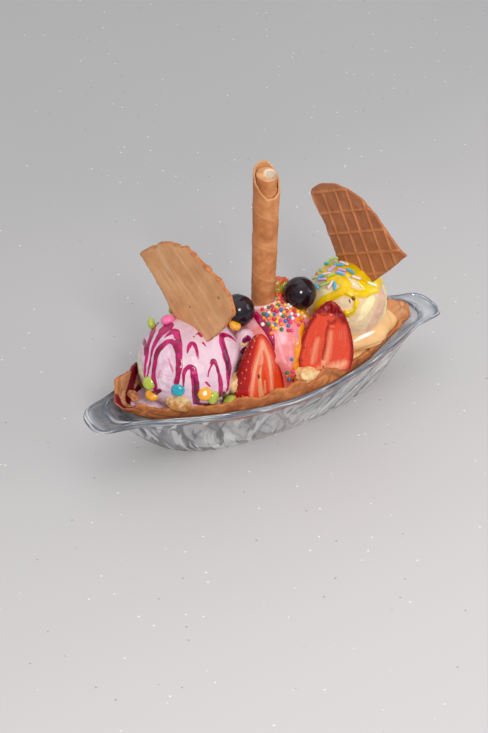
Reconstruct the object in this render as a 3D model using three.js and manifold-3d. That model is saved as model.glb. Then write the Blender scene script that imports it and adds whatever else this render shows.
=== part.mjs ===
// A banana split in a pressed-glass boat dish. Millimetres, +Z up, +X along the dish.
// The origin is on the floor, under the middle of the dish's flat foot.
import * as THREE from "three";
import { mergeVertices } from "three/addons/utils/BufferGeometryUtils.js";
import ManifoldModule from "manifold-3d";

const wasm = await ManifoldModule();
wasm.setup();

// ---- driving dimensions ----

const gap = 0.35;
const fineStep = 1e-4;
const tidyStep = 0.1;

const dish = {
  halfLength: 119,
  bellyHalfWidth: 43.6,
  lipHalfWidth: 14,
  bellyHalfLength: 105,
  lipRounding: 18,
  rimHeight: 36,
  lipDroop: 2.2,
  droopStart: 95,
  wall: 3.5,
  rimRound: 1.2,
  floor: 6,
  cavityHalfLength: 104,
  columns: 64,
  outerShares: [0.2, 0.4, 0.6, 0.76, 0.86, 0.93],
  cavityShares: [1, 0.85, 0.6, 0.35, 0.12, 0],
};
// How the outline narrows to its lips: powers of the share of the way along.
const outlinePowers = { belly: 1.3, lip: 4, lipBlunt: 0.4 };
// The bowl is full right up to its ends, and its flat lips reach on from its upper edge.
const ends = { power: 0.62, from: 0.75, to: 0.95, lipFrom: 0.84, lipTo: 0.985, bowl: 103.5, hollow: 98.5 };
// Each oval is a foot or floor inside the boat outline; blunt 0.5 is an ellipse.
const foot = { halfLength: 66, halfWidth: 27.2, blunt: 0.35, edge: 1, edgeShare: 0.04 };
const cavityFloor = { halfLength: 60, halfWidth: 22, blunt: 0.35 };
const shellFloor = { halfLength: 57, halfWidth: 20.4, blunt: 0.35 };
const thumbprint = { pitch: 24, halfLength: 11, halfHeight: 12, depth: 1.3, height: 20, fade: 15 };

const shell = { thickness: 2, rimHalfLength: 94, clearance: 0.6, columns: 60, shares: [0, 0.35, 0.7, 1] };

// The shell's top edge runs out over the dish's lips, and folds rise from its level.
// A fold stands on the front side (-1) or the back side (1).
const shellEdge = {
  leftReach: 101.5,
  rightReach: 100.5,
  reachPower: 2.4,
  level: 39.3,
  fallAlong: 0.014,
  sideBlend: 12,
  folds: [
    { x: -80, side: 1, rise: 9.5, halfWidth: 17 },
    { x: -95, side: 1, rise: 9, halfWidth: 13 },
    { x: -30, side: 1, rise: 4, halfWidth: 50 },
    { x: 60, side: 1, rise: 2.5, halfWidth: 45 },
    { x: -91, side: -1, rise: 3.2, halfWidth: 8 },
    { x: -36, side: -1, rise: 2.4, halfWidth: 9 },
    { x: -15, side: -1, rise: 4, halfWidth: 13 },
    { x: -2, side: -1, rise: 5.8, halfWidth: 8 },
    { x: 17, side: -1, rise: 6.8, halfWidth: 10 },
    { x: 28, side: -1, rise: 3, halfWidth: 10 },
  ],
};

const meltLevel = 33.5;

const creamCap = { azimuth: 330, elevation: 62, fullTo: 26, noneFrom: 38, proud: 1.4 };
// The strawberries press these hollows into the scoops, each with its middle's direction in degrees.
const berryDents = [{ azimuth: 315, elevation: -5, reach: 32, depth: 4 }];
const pinkDents = [
  { azimuth: 240, elevation: -8, reach: 24, depth: 3.2 },
  { azimuth: 288, elevation: 5, reach: 22, depth: 3 },
];
const scoops = {
  berry: { centre: [-52, 0, 53], radii: [30.5, 29.5, 27], lumps: 0.5, dents: berryDents },
  pink: { centre: [3, 0, 46], radii: [26.5, 26.5, 26.5], lumps: 0.5, dents: pinkDents },
  cream: { centre: [54.5, 0, 57.5], radii: [23.8, 23.8, 23.8], lumps: 0.5, cap: creamCap },
};
// The cream scoop stands in a melted foot of its own.
const creamFoot = { centre: [55, -1, 42.5], radii: [26.5, 26, 8.5], lumps: 0.8 };
const scoopSkin = { columns: 24, rows: 14, pitch: 7 };

// The thick sauce runs, as [azimuth, elevation] on their scoop, in degrees.
const berryRuns = [
  { width: 4.6, path: [[122, 59], [160, 60], [174, 49], [178, 36], [183, 20], [186, 7]] },
  { width: 3.4, path: [[153, 60], [183, 48], [192, 32], [196, 14], [198, 5]] },
  {
    width: 3.6,
    path: [[195, 27], [188, 41], [186, 50], [193, 58], [210, 57], [223, 43], [227, 30], [228, 14]],
  },
  { width: 3.6, path: [[181, 52], [178, 61], [180, 70], [198, 72], [225, 53]] },
  {
    width: 3.2,
    path: [[235, 5], [235, 21], [239, 30], [244, 35], [248, 30], [250, 18], [249, 2], [251, -16]],
  },
  { width: 3.4, path: [[303, 49], [315, 53], [327, 46], [329, 39], [325, 33]] },
  { width: 4, path: [[315, 53], [308, 42], [299, 31], [294, 17], [294, 3], [291, -8]] },
];
const pinkRuns = [
  { width: 4.5, path: [[159, 60], [194, 64], [222, 57], [237, 45], [240, 32]] },
  { width: 4.5, path: [[2, 48], [325, 46], [293, 39], [278, 20], [273, -4]] },
];
const creamRuns = [
  { width: 4.5, path: [[230, 56], [209, 42], [192, 31], [189, 15]] },
  { width: 4, path: [[241, 52], [251, 43], [250, 33], [242, 24], [235, 29]] },
];
const runProud = 1;
const runSection = { sides: 5, stepInRadii: 5, endShare: 0.7 };

// Sprinkles lie around a middle direction, apart by so many radii and raised by a share of one.
const beads = {
  radius: 1.15, apart: 2.2, raised: 0.35, azimuth: 235, elevation: 62, spread: 36, count: 27, seed: 7,
};
const rods = {
  radius: 0.95, length: 6.2, apart: 3.4, raised: 0.3,
  azimuth: 190, elevation: 62, spread: 34, count: 15, seed: 11,
};

const roll = {
  base: [1.4, 8.5, 62],
  radius: 6.8,
  topRadius: 7.7,
  topBack: 163.3,
  topFront: 146,
  lean: 1.3,
  layerRadius: 6,
  layerGap: 0.7,
  layerDepth: 6,
  layerRise: 4,
  boreRadius: 3,
  boreDepth: 22,
  clear: 10,
  sides: 18,
};

const grapes = {
  grape_left: { centre: [-18.2, 2.8, 75.2], radius: 9.4 },
  grape_right: { centre: [21.6, 0, 75], radius: 9.7 },
};

// Flat wafers stand upright across the dish: outline along the sheet (towards the viewer's
// side) and up, from a point on the sheet's mid plane.
const plainWafer = {
  point: [-51.6, 0.7, 82],
  turn: -77.3,
  thickness: 2.2,
  outline: [
    [-41, 26.2], [-31, 35.4], [-27.5, 36.5], [-23.9, 41.4], [-15.1, 46.4], [-5.5, 47.9], [-0.7, 50.7],
    [1.8, 49.2], [13.3, 45.7], [26.4, 41.7], [35.3, 35], [38.5, 25.1], [29.3, 10], [17.3, -5.5],
    [6, -11], [-6, -9], [-11.6, -3.3], [-20.8, 7.3], [-33.4, 19.7],
  ],
};
const gridWafer = {
  point: [60.9, -2, 80.2],
  turn: -77.9,
  thickness: 1.6,
  outline: [
    [-41, 36.3], [-33.6, 43.4], [-22, 48.6], [-10.4, 49.6], [0.3, 48.6], [11.1, 43.6], [21.2, 36.3],
    [32.1, 29.3], [37.8, 28.1], [26.6, 13.9], [12, -3.7], [5, -11], [-6, -12], [-13, -8], [-19.3, 1.6],
    [-29.3, 18.1], [-40.9, 31.5],
  ],
};
const waffleGrid = {
  tilt: 30, pitchAlong: 10.9, pitchAcross: 13.2, rib: 2, proud: 0.7, origin: [-8.4, 21.4],
  ribLength: 130, eachWay: 6,
};

const berries = {
  strawberry_half_left: {
    base: [-21.8, -30.1, 31.4], apex: [-17.4, -19.9, 72.8], face: [0.2, -0.94, 0.26], width: 38, depth: 17,
    baseShare: 0.94, tipPower: 1.21, tipBlunt: 0.58,
  },
  strawberry_half_right: {
    base: [19.2, -32.8, 41.5], apex: [28.1, -23.6, 82.2], face: [-0.34, -0.87, 0.35], width: 34, depth: 14,
    baseShare: 0.9, tipPower: 2.1, tipBlunt: 0.68,
  },
};
const berrySection = {
  shares: [0, 0.1, 0.28, 0.46, 0.62, 0.76, 0.87, 0.95],
  arcSteps: 9,
  faceSteps: 4,
  faceDish: 0.8,
  fullShare: 0.3,
};
const smallBerry = { centre: [15.6, 12.5, 72], radii: [7, 6.5, 8] };

const bananas = {
  banana_piece_left: { centre: [-68.3, -18.6, 45.1], radii: [7.5, 6, 6.5], lean: 20 },
  banana_piece_middle: { centre: [-33.5, -22, 43], radii: [6, 5.5, 7], lean: -15 },
  banana_piece_right: { centre: [10, -30.5, 38.5], radii: [8.5, 6, 5.5], lean: 10 },
};

const lumpSkin = { columns: 11, rows: 7, unevenShare: 0.08, pitch: 4 };
const grapeSkin = { columns: 14, rows: 9, unevenShare: 0.015, pitch: 3 };

const candy = { radius: 4.2, halfThickness: 2.4, blunt: 0.7, sides: 10, steps: 5 };
const candies = {
  candy_1: { centre: [-65.6, 20.6, 72], facing: [0.8, -0.45, 0.3] },
  candy_2: { centre: [-59.3, 12.6, 77.7], facing: [-0.15, 0.3, 0.94] },
  candy_3: { centre: [-50.5, 19.5, 77], facing: [0.1, 0.6, 0.8] },
  candy_4: { centre: [-82.2, -6.8, 53.7], facing: [-0.6, -0.6, 0.5], size: 0.95 },
  candy_5: { centre: [-80.2, -6.8, 45], facing: [-0.3, -0.3, 0.9], size: 1.08 },
  candy_6: { centre: [-72, -22.2, 55.2], facing: [-0.5, -0.75, 0.4], size: 0.95 },
  candy_7: { centre: [-58.9, -29.4, 52.2], facing: [-0.28, -0.7, 0.65] },
  candy_8: { centre: [-52.7, -28.6, 47], facing: [0.58, -0.88, -0.05], size: 1.2 },
  candy_9: { centre: [-41.4, -28, 39], facing: [-0.3, 0.25, 0.92], size: 1.05 },
  candy_10: { centre: [-24.7, -4.6, 71.7], facing: [0.26, -0.3, 0.9], size: 0.88 },
};

// ---- materials ----

function plain(color, roughness = 0.6) {
  return new THREE.MeshStandardMaterial({ color, roughness, metalness: 0 });
}

const glassMaterial = new THREE.MeshStandardMaterial({
  color: 0xdfe6ea,
  roughness: 0.05,
  metalness: 0,
  transparent: true,
  opacity: 0.35,
});
const waferMaterial = plain(0xc08a58, 0.7);
const green = 0xb9cd46;
const pink = 0xfa78b4;
const yellow = 0xf0aa14;
const blue = 0x14a0b9;
const candyColours = [green, pink, green, green, yellow, blue, yellow, green, green, yellow];

// ---- solids ----

function solidOf(geometry) {
  const bare = new THREE.BufferGeometry();
  bare.setAttribute("position", geometry.getAttribute("position").clone());
  if (geometry.index) {
    bare.setIndex(geometry.index.clone());
  }
  const merged = mergeVertices(bare, fineStep);
  const mesh = new wasm.Mesh({
    numProp: 3,
    vertProperties: merged.attributes.position.array,
    triVerts: new Uint32Array(merged.index.array),
  });
  return new wasm.Manifold(mesh);
}

function geometryOf(solid) {
  const mesh = solid.getMesh();
  const geometry = new THREE.BufferGeometry();
  geometry.setAttribute("position", new THREE.BufferAttribute(Float32Array.from(mesh.vertProperties), 3));
  geometry.setIndex(Array.from(mesh.triVerts));
  geometry.computeVertexNormals();
  return geometry;
}

function largestBody(solid) {
  const bodies = solid.decompose();
  return bodies.reduce((best, body) => (body.volume() > best.volume() ? body : best));
}

function vector([x, y, z]) {
  return new THREE.Vector3(x, y, z);
}

function middle(points) {
  const sum = points.reduce((total, point) => total.add(point), new THREE.Vector3());
  return sum.divideScalar(points.length);
}

// A closed skin over rings of equally many points, each anticlockwise seen from the last ring's end.
function loft(rings, ends = [middle(rings[0]), middle(rings.at(-1))]) {
  const count = rings[0].length;
  const points = [...rings.flat(), ...ends];
  const first = points.length - 2;
  const last = points.length - 1;
  const top = (rings.length - 1) * count;
  const faces = [];
  for (let i = 0; i < count; i += 1) {
    const next = (i + 1) % count;
    for (let row = 0; row < rings.length - 1; row += 1) {
      const a = row * count + i;
      const b = row * count + next;
      faces.push(a, b, b + count, a, b + count, a + count);
    }
    faces.push(first, next, i, last, top + i, top + next);
  }
  const geometry = new THREE.BufferGeometry().setFromPoints(points);
  geometry.setIndex(faces);
  return geometry;
}

// A round body whose skin lies at surface(direction).
function ball(surface, columns, rows) {
  const rings = [];
  for (let row = 1; row < rows; row += 1) {
    const elevation = -Math.PI / 2 + (Math.PI * row) / rows;
    const ring = [];
    for (let i = 0; i < columns; i += 1) {
      const azimuth = (2 * Math.PI * i) / columns;
      ring.push(surface(directionAt(azimuth, elevation)));
    }
    rings.push(ring);
  }
  return loft(rings, [surface(new THREE.Vector3(0, 0, -1)), surface(new THREE.Vector3(0, 0, 1))]);
}

function directionAt(azimuth, elevation) {
  const level = Math.cos(elevation);
  return new THREE.Vector3(level * Math.cos(azimuth), level * Math.sin(azimuth), Math.sin(elevation));
}

function directionOfDegrees([azimuth, elevation]) {
  return directionAt(THREE.MathUtils.degToRad(azimuth), THREE.MathUtils.degToRad(elevation));
}

// A smooth unevenness between -1 and 1 over the directions.
function unevenness(direction, pitch, shift) {
  const { x, y, z } = direction;
  const a = Math.sin(pitch * x + 1.7 * pitch * z + shift);
  const b = Math.sin(1.3 * pitch * y - pitch * z + 2 * shift);
  const c = Math.sin(0.9 * pitch * (x - y) + 3 * shift);
  return (a + b + c) / 3;
}

// A round tube along points, drawn in slightly at its closed ends.
function tube(points, radius) {
  const { sides, stepInRadii, endShare } = runSection;
  const curve = new THREE.CatmullRomCurve3(points);
  const steps = Math.max(1, Math.round(curve.getLength() / (stepInRadii * radius)));
  const frames = curve.computeFrenetFrames(steps, false);
  const rings = [];
  for (let step = 0; step <= steps; step += 1) {
    const centre = curve.getPointAt(step / steps);
    const size = step === 0 || step === steps ? endShare * radius : radius;
    const ring = [];
    for (let i = 0; i < sides; i += 1) {
      const turn = (2 * Math.PI * i) / sides;
      const across = frames.normals[step].clone().multiplyScalar(size * Math.cos(turn));
      const up = frames.binormals[step].clone().multiplyScalar(size * Math.sin(turn));
      ring.push(centre.clone().add(across).add(up));
    }
    rings.push(ring);
  }
  return solidOf(loft(rings));
}

function seededRandom(seed) {
  let state = seed;
  return () => {
    state = (state * 16807) % 2147483647;
    return state / 2147483647;
  };
}

// ---- the dish ----

function bellyHalfWidth(x) {
  const share = Math.min(1, Math.abs(x) / dish.bellyHalfLength);
  const swell = dish.bellyHalfWidth - dish.lipHalfWidth;
  return dish.lipHalfWidth + swell * (1 - share ** 2) ** outlinePowers.belly;
}

// The boat outline, inset from the rim, as evenly spaced points anticlockwise from the right tip.
function boatOutline(halfLength, inset, columns) {
  const fine = [];
  const count = 360;
  for (let i = 0; i < count; i += 1) {
    const turn = (2 * Math.PI * i) / count;
    const x = halfLength * Math.cos(turn);
    const tip = Math.max(0, (Math.abs(x) - halfLength) / dish.lipRounding + 1);
    const closing = Math.max(0, 1 - tip ** outlinePowers.lip) ** outlinePowers.lipBlunt;
    const y = (bellyHalfWidth(x) - inset) * closing;
    fine.push(new THREE.Vector3(x, turn < Math.PI ? y : -y, 0));
  }
  const curve = new THREE.CatmullRomCurve3(fine, true);
  curve.arcLengthDivisions = 4 * count;
  return curve.getSpacedPoints(columns).slice(0, columns);
}

function rimHeightAt(x) {
  const past = Math.max(0, Math.abs(x) - dish.droopStart) / (dish.halfLength - dish.droopStart);
  return dish.rimHeight - dish.lipDroop * past ** 2;
}

function thumbprintDepth(x, z) {
  const along = (x - thumbprint.pitch * Math.round(x / thumbprint.pitch)) / thumbprint.halfLength;
  const up = (z - thumbprint.height) / thumbprint.halfHeight;
  return thumbprint.depth * Math.max(0, 1 - along ** 2 - up ** 2);
}

// The outline drawn in towards an oval: share 0 is the oval and share 1 is the outline.
// Where a bowl length is given, the ends keep to it up to the height where the lips begin.
function flared(outline, oval, share, bowl) {
  const reach = Math.max(...outline.map(({ x }) => x));
  return outline.map(({ x, y }) => {
    const turn = Math.min(1, Math.abs(x) / reach);
    const ovalX = (x / reach) * oval.halfLength;
    const ovalY = Math.sign(y) * oval.halfWidth * (1 - turn ** 2) ** oval.blunt;
    const bowlShare = (bowl - oval.halfLength) / (reach - oval.halfLength);
    const along = THREE.MathUtils.lerp(ovalX, x, bowl ? endShare(share, turn, bowlShare) : share);
    return new THREE.Vector3(along, THREE.MathUtils.lerp(ovalY, y, share), 0);
  });
}

function endShare(share, turn, bowlShare) {
  const nearEnd = THREE.MathUtils.smoothstep(turn, ends.from, ends.to);
  const onLip = THREE.MathUtils.smoothstep(share, ends.lipFrom, ends.lipTo);
  const fullness = share ** ends.power * THREE.MathUtils.lerp(1, bowlShare, nearEnd);
  return fullness + (1 - bowlShare) * nearEnd * onLip;
}

function dishOuterRing(outline, share, inset = 0) {
  return flared(outline, foot, share, ends.bowl).map(({ x, y }, i) => {
    const z = share * rimHeightAt(outline[i].x);
    const pressed = thumbprintDepth(x, z) + inset;
    const inward = Math.sign(y) * Math.min(1, Math.abs(y) / thumbprint.fade) * pressed;
    return new THREE.Vector3(x * (1 - inset / foot.halfLength), y - inward, z);
  });
}

function dishCavityRing(outline, share) {
  return flared(outline, cavityFloor, share, ends.hollow).map((point, i) => {
    const top = rimHeightAt(outline[i].x) - dish.rimRound;
    return point.setZ(dish.floor + (top - dish.floor) * share);
  });
}

function raised(outline, inset) {
  return movedInwards(outline, inset).map((point) => point.setZ(rimHeightAt(point.x)));
}

function buildDish() {
  const rim = boatOutline(dish.halfLength, 0, dish.columns);
  const cavity = boatOutline(dish.cavityHalfLength, dish.wall, dish.columns);
  const lowered = dishOuterRing(rim, 1).map((point) => point.setZ(point.z - dish.rimRound));
  const rings = [
    dishOuterRing(rim, 0, foot.edge),
    dishOuterRing(rim, foot.edgeShare),
    ...dish.outerShares.map((share) => dishOuterRing(rim, share)),
    lowered,
    raised(rim, dish.rimRound / 2),
    raised(cavity, -dish.rimRound / 2),
    ...dish.cavityShares.map((share) => dishCavityRing(cavity, share)),
  ];
  return solidOf(loft(rings));
}

// ---- the wafer shell and what melted in it ----

function foldRise({ x, side, rise, halfWidth }, point) {
  const away = Math.min(1, Math.abs(point.x - x) / halfWidth);
  const onSide = THREE.MathUtils.clamp(0.5 + (side * point.y) / shellEdge.sideBlend, 0, 1);
  return rise * onSide * Math.cos((Math.PI * away) / 2) ** 2;
}

// The shell's top edge above each outline point.
function edgeRing(outline) {
  return outline.map(({ x, y }) => {
    const reach = x < 0 ? shellEdge.leftReach : shellEdge.rightReach;
    const endShare = (Math.abs(x) / shell.rimHalfLength) ** shellEdge.reachPower;
    const over = Math.sign(x) * (reach - shell.rimHalfLength) * endShare;
    const point = new THREE.Vector3(x + over, y, 0);
    const level = shellEdge.level - shellEdge.fallAlong * point.x;
    return point.setZ(shellEdge.folds.reduce((z, fold) => z + foldRise(fold, point), level));
  });
}

// The shell's outer skin at a share of its height, moved inwards and up by a depth.
function shellRing(outline, share, depth) {
  const bottom = dish.floor + shell.clearance;
  const top = dish.rimHeight - dish.rimRound;
  const lift = depth * (1 - share) ** 0.7;
  const z = bottom + (top - bottom) * share + lift;
  const skin = flared(outline, shellFloor, share).map((point) => point.setZ(z));
  return movedInwards(skin, depth);
}

function shellOutline(columns) {
  const shortened = shell.rimHalfLength / dish.cavityHalfLength;
  const outline = boatOutline(dish.cavityHalfLength, dish.wall + shell.clearance, columns);
  return outline.map((point) => point.setX(point.x * shortened));
}

function movedInwards(ring, depth) {
  return ring.map((point, i) => {
    const ahead = ring[(i + 1) % ring.length];
    const behind = ring[(i + ring.length - 1) % ring.length];
    const inward = new THREE.Vector3(behind.y - ahead.y, ahead.x - behind.x, 0).normalize();
    return point.clone().addScaledVector(inward, depth);
  });
}

function buildShell(grow) {
  const outline = shellOutline(shell.columns);
  const edge = edgeRing(outline);
  const inset = shell.thickness + grow;
  const outer = shell.shares.map((share) => shellRing(outline, share, -grow));
  const inner = shell.shares.map((share) => shellRing(outline, share, inset)).reverse();
  const outerEdge = movedInwards(edge, -grow).map((point) => point.setZ(point.z + grow));
  const innerEdge = movedInwards(edge, inset).map((point) => point.setZ(point.z + grow));
  return solidOf(loft([...outer, outerEdge, innerEdge, ...inner]));
}

function buildMelt(grow) {
  const outline = shellOutline(shell.columns / 2);
  const depth = shell.thickness + 1.5 * gap - grow;
  const fullHeight = dish.rimHeight - dish.rimRound - dish.floor - shell.clearance;
  const topShare = (meltLevel + grow - dish.floor - shell.clearance) / fullHeight;
  const rings = [0, 0.5, 1].map((share) => shellRing(outline, share * topShare, depth));
  return solidOf(loft(rings));
}

// ---- scoops with sauce and sprinkles ----

function onScoop(scoop, direction, outwards) {
  const radii = vector(scoop.radii).addScalar(outwards);
  return direction.clone().multiply(radii).add(vector(scoop.centre));
}

// Falls from 1 to 0 as a direction turns away from a middle one, in degrees.
function nearness(direction, middleTurn, fullTo, noneFrom) {
  const away = THREE.MathUtils.radToDeg(direction.angleTo(directionOfDegrees(middleTurn)));
  return 1 - THREE.MathUtils.smoothstep(away, fullTo, noneFrom);
}

// How far the skin stands out from the scoop's even shape, with its dents and its cap of sauce.
function proudOf(scoop, direction) {
  const { lumps, cap, dents = [] } = scoop;
  let proud = lumps * unevenness(direction, scoopSkin.pitch, scoop.centre[0]);
  for (const { azimuth, elevation, reach, depth } of dents) {
    proud -= depth * nearness(direction, [azimuth, elevation], 0, reach);
  }
  if (cap) {
    proud += cap.proud * nearness(direction, [cap.azimuth, cap.elevation], cap.fullTo, cap.noneFrom);
  }
  return proud;
}

function scoopCore(scoop, grow) {
  const surface = (direction) => onScoop(scoop, direction, proudOf(scoop, direction) + grow);
  return solidOf(ball(surface, scoopSkin.columns, scoopSkin.rows));
}

function sauceRuns(scoop, runs, grow) {
  return runs.map(({ width, path }) => {
    const sunk = runProud - width / 2;
    const directions = path.map((turn) => directionOfDegrees(turn));
    const points = directions.map((direction) => onScoop(scoop, direction, proudOf(scoop, direction) + sunk));
    return tube(points, width / 2 + grow);
  });
}

// Seeded directions around a middle one, kept apart on a ball of the given radius.
function scattered({ azimuth, elevation, spread, count, seed, radius, apart }, ballRadius) {
  const random = seededRandom(seed);
  const spacing = (apart * radius) / ballRadius;
  const axis = directionOfDegrees([azimuth, elevation]);
  const side = new THREE.Vector3(0, 0, 1).cross(axis).normalize();
  const chosen = [];
  for (let attempt = 0; attempt < 4000 && chosen.length < count; attempt += 1) {
    const away = THREE.MathUtils.degToRad(spread * Math.sqrt(random()));
    const turn = 2 * Math.PI * random();
    const direction = axis.clone().applyAxisAngle(side, away).applyAxisAngle(axis, turn);
    if (chosen.every((other) => other.angleTo(direction) > spacing)) {
      chosen.push(direction);
    }
  }
  return chosen;
}

function beadSolids(scoop, grow) {
  return scattered(beads, scoop.radii[0]).map((direction) => {
    const centre = onScoop(scoop, direction, proudOf(scoop, direction) + beads.raised * beads.radius);
    const bead = new THREE.IcosahedronGeometry(beads.radius + grow, 0);
    return solidOf(bead.translate(...centre.toArray()));
  });
}

function rodSolids(scoop, grow) {
  const random = seededRandom(rods.seed + 1);
  return scattered(rods, scoop.radii[0]).map((direction) => {
    const centre = onScoop(scoop, direction, proudOf(scoop, direction) + rods.raised * rods.radius);
    const along = new THREE.Vector3(0, 0, 1).cross(direction).normalize();
    along.applyAxisAngle(direction, 2 * Math.PI * random());
    const half = along.multiplyScalar(rods.length / 2);
    return tube([centre.clone().sub(half), centre.clone().add(half)], rods.radius + grow);
  });
}

function buildScoop(scoop, grow, { runs = [], footing = null, toppings = () => [] }) {
  const parts = [scoopCore(scoop, grow), ...sauceRuns(scoop, runs, grow), ...toppings(scoop, grow)];
  if (footing) {
    parts.push(scoopCore(footing, grow));
  }
  return wasm.Manifold.union(parts);
}

// ---- what stands in the scoops ----

// A round bar about the roll's axis.
function upright(topRadius, bottomRadius, height, middleHeight) {
  const bar = new THREE.CylinderGeometry(topRadius, bottomRadius, height, roll.sides);
  bar.rotateX(Math.PI / 2);
  return solidOf(bar.translate(roll.base[0], roll.base[1], middleHeight));
}

function buildRoll(grow) {
  const height = roll.topBack - roll.base[2];
  const halfway = roll.base[2] + height / 2;
  const outside = upright(roll.topRadius + grow, roll.radius + grow, height + grow, halfway);
  const slant = (roll.topBack - roll.topFront) / (2 * roll.topRadius);
  const cutNormal = new THREE.Vector3(0, slant, -1).normalize();
  const cutPoint = new THREE.Vector3(roll.base[0], roll.base[1], (roll.topBack + roll.topFront) / 2 + grow);
  const body = outside.trimByPlane(cutNormal.toArray(), cutNormal.dot(cutPoint));
  if (grow > 0) {
    return leant(body);
  }
  const wound = (radius, bottom, top) => upright(radius, radius, top - bottom, (bottom + top) / 2);
  const layerTop = (roll.topBack + roll.topFront) / 2 + roll.layerRise;
  const layerBottom = roll.topFront - roll.layerDepth;
  const clearTop = roll.topBack + roll.clear;
  const hollow = wound(roll.layerRadius, layerBottom, clearTop);
  const inner = wound(roll.layerRadius - roll.layerGap, layerBottom - roll.layerGap, layerTop);
  const bore = wound(roll.boreRadius, layerTop - roll.boreDepth, clearTop);
  return leant(body.subtract(hollow).add(inner).subtract(bore));
}

// The roll leans a little towards the dish's right end.
function leant(solid) {
  const [x, y, z] = roll.base;
  return solid.translate([-x, -y, -z]).rotate([0, roll.lean, 0]).translate([x, y, z]);
}

function buildGrape({ centre, radius }, grow) {
  const surface = (direction) => {
    const uneven = grapeSkin.unevenShare * unevenness(direction, grapeSkin.pitch, centre[0]);
    return direction.clone().multiplyScalar(radius * (1 + uneven) + grow).add(vector(centre));
  };
  return solidOf(ball(surface, grapeSkin.columns, grapeSkin.rows));
}

// Stands a sheet's own plane (along, up, through) across the dish.
function stood(solid, sheet) {
  return solid.rotate([90, 0, 0]).rotate([0, 0, sheet.turn]).translate(sheet.point);
}

// A clockwise outline moved outwards by an even distance, with its corners kept sharp.
function spread(outline, distance) {
  const points = outline.map(([along, up]) => new THREE.Vector2(along, up));
  return points.map((point, i) => {
    const before = point.clone().sub(points.at(i - 1)).normalize();
    const after = points[(i + 1) % points.length].clone().sub(point).normalize();
    const outward = new THREE.Vector2(-before.y - after.y, before.x + after.x);
    return point.clone().addScaledVector(outward, distance / (1 + before.dot(after)));
  });
}

function sheetSolid({ outline, thickness }, grow) {
  const deep = thickness + 2 * grow;
  const shape = new THREE.Shape(spread(outline, grow));
  const sheet = new THREE.ExtrudeGeometry(shape, { depth: deep, bevelEnabled: false });
  return solidOf(sheet.translate(0, 0, -deep / 2));
}

function buildPlainWafer(grow) {
  return stood(sheetSolid(plainWafer, grow), plainWafer);
}

// The ribs stand on the sheet's side towards the dish's left end.
function ribbedSheet() {
  const ribDepth = gridWafer.thickness / 2 + waffleGrid.proud;
  const { rib, ribLength, eachWay, pitchAlong, pitchAcross, tilt, origin } = waffleGrid;
  const ribs = [];
  for (let n = -eachWay; n <= eachWay; n += 1) {
    const steep = new THREE.BoxGeometry(rib, ribLength, ribDepth).translate(n * pitchAlong, 0, 0);
    const shallow = new THREE.BoxGeometry(ribLength, rib, ribDepth).translate(0, n * pitchAcross, 0);
    ribs.push(solidOf(steep), solidOf(shallow));
  }
  const grid = wasm.Manifold.union(ribs).rotate([0, 0, tilt]).translate([...origin, 0]);
  const outer = sheetSolid({ outline: gridWafer.outline, thickness: ribDepth }, 0);
  return sheetSolid(gridWafer, 0).add(grid.intersect(outer).translate([0, 0, ribDepth / 2]));
}

function buildGridWafer(grow) {
  if (grow > 0) {
    const thickness = gridWafer.thickness + 2 * waffleGrid.proud;
    return stood(sheetSolid({ ...gridWafer, thickness }, grow), gridWafer);
  }
  return stood(ribbedSheet(), gridWafer);
}

// ---- fruit and sweets ----

// Half a strawberry: a rounded back behind a flat cut face, from its base to its tip.
function buildHalfBerry({ base, apex, face, width, depth, baseShare, tipPower, tipBlunt }, grow) {
  const axis = vector(apex).sub(vector(base));
  const length = axis.length() + grow;
  axis.normalize();
  const back = vector(face).addScaledVector(axis, -vector(face).dot(axis)).normalize().negate();
  const side = new THREE.Vector3().crossVectors(back, axis);
  const { shares, arcSteps, faceSteps, faceDish, fullShare } = berrySection;
  const rings = shares.map((share) => {
    const filling = Math.sin((Math.PI * Math.min(share, fullShare)) / (2 * fullShare));
    const swell = baseShare + (1 - baseShare) * filling;
    const wide = swell * (1 - share ** tipPower) ** tipBlunt * (width / 2) + grow;
    const deep = (wide * depth) / (width / 2);
    const ring = [];
    for (let i = 0; i <= arcSteps; i += 1) {
      const turn = (Math.PI * i) / arcSteps;
      ring.push([wide * Math.cos(turn), deep * Math.sin(turn)]);
    }
    for (let i = 1; i < faceSteps; i += 1) {
      const across = i / faceSteps;
      ring.push([wide * (2 * across - 1), -faceDish * Math.sin(Math.PI * across) - grow]);
    }
    return ring.map(([sideways, backwards]) => {
      const point = vector(base).addScaledVector(axis, share * length - grow);
      return point.addScaledVector(side, sideways).addScaledVector(back, backwards);
    });
  });
  const tip = vector(base).addScaledVector(axis, length).addScaledVector(back, 1);
  return solidOf(loft(rings, [middle(rings[0]), tip]));
}

function buildLump({ centre, radii, lean = 0 }, grow) {
  const tilt = new THREE.Vector3(0, 1, 0);
  const surface = (direction) => {
    const bumpy = 1 + lumpSkin.unevenShare * unevenness(direction, lumpSkin.pitch, centre[0]);
    const reach = direction.clone().multiply(vector(radii).multiplyScalar(bumpy).addScalar(grow));
    return reach.applyAxisAngle(tilt, THREE.MathUtils.degToRad(lean)).add(vector(centre));
  };
  return solidOf(ball(surface, lumpSkin.columns, lumpSkin.rows));
}

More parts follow.
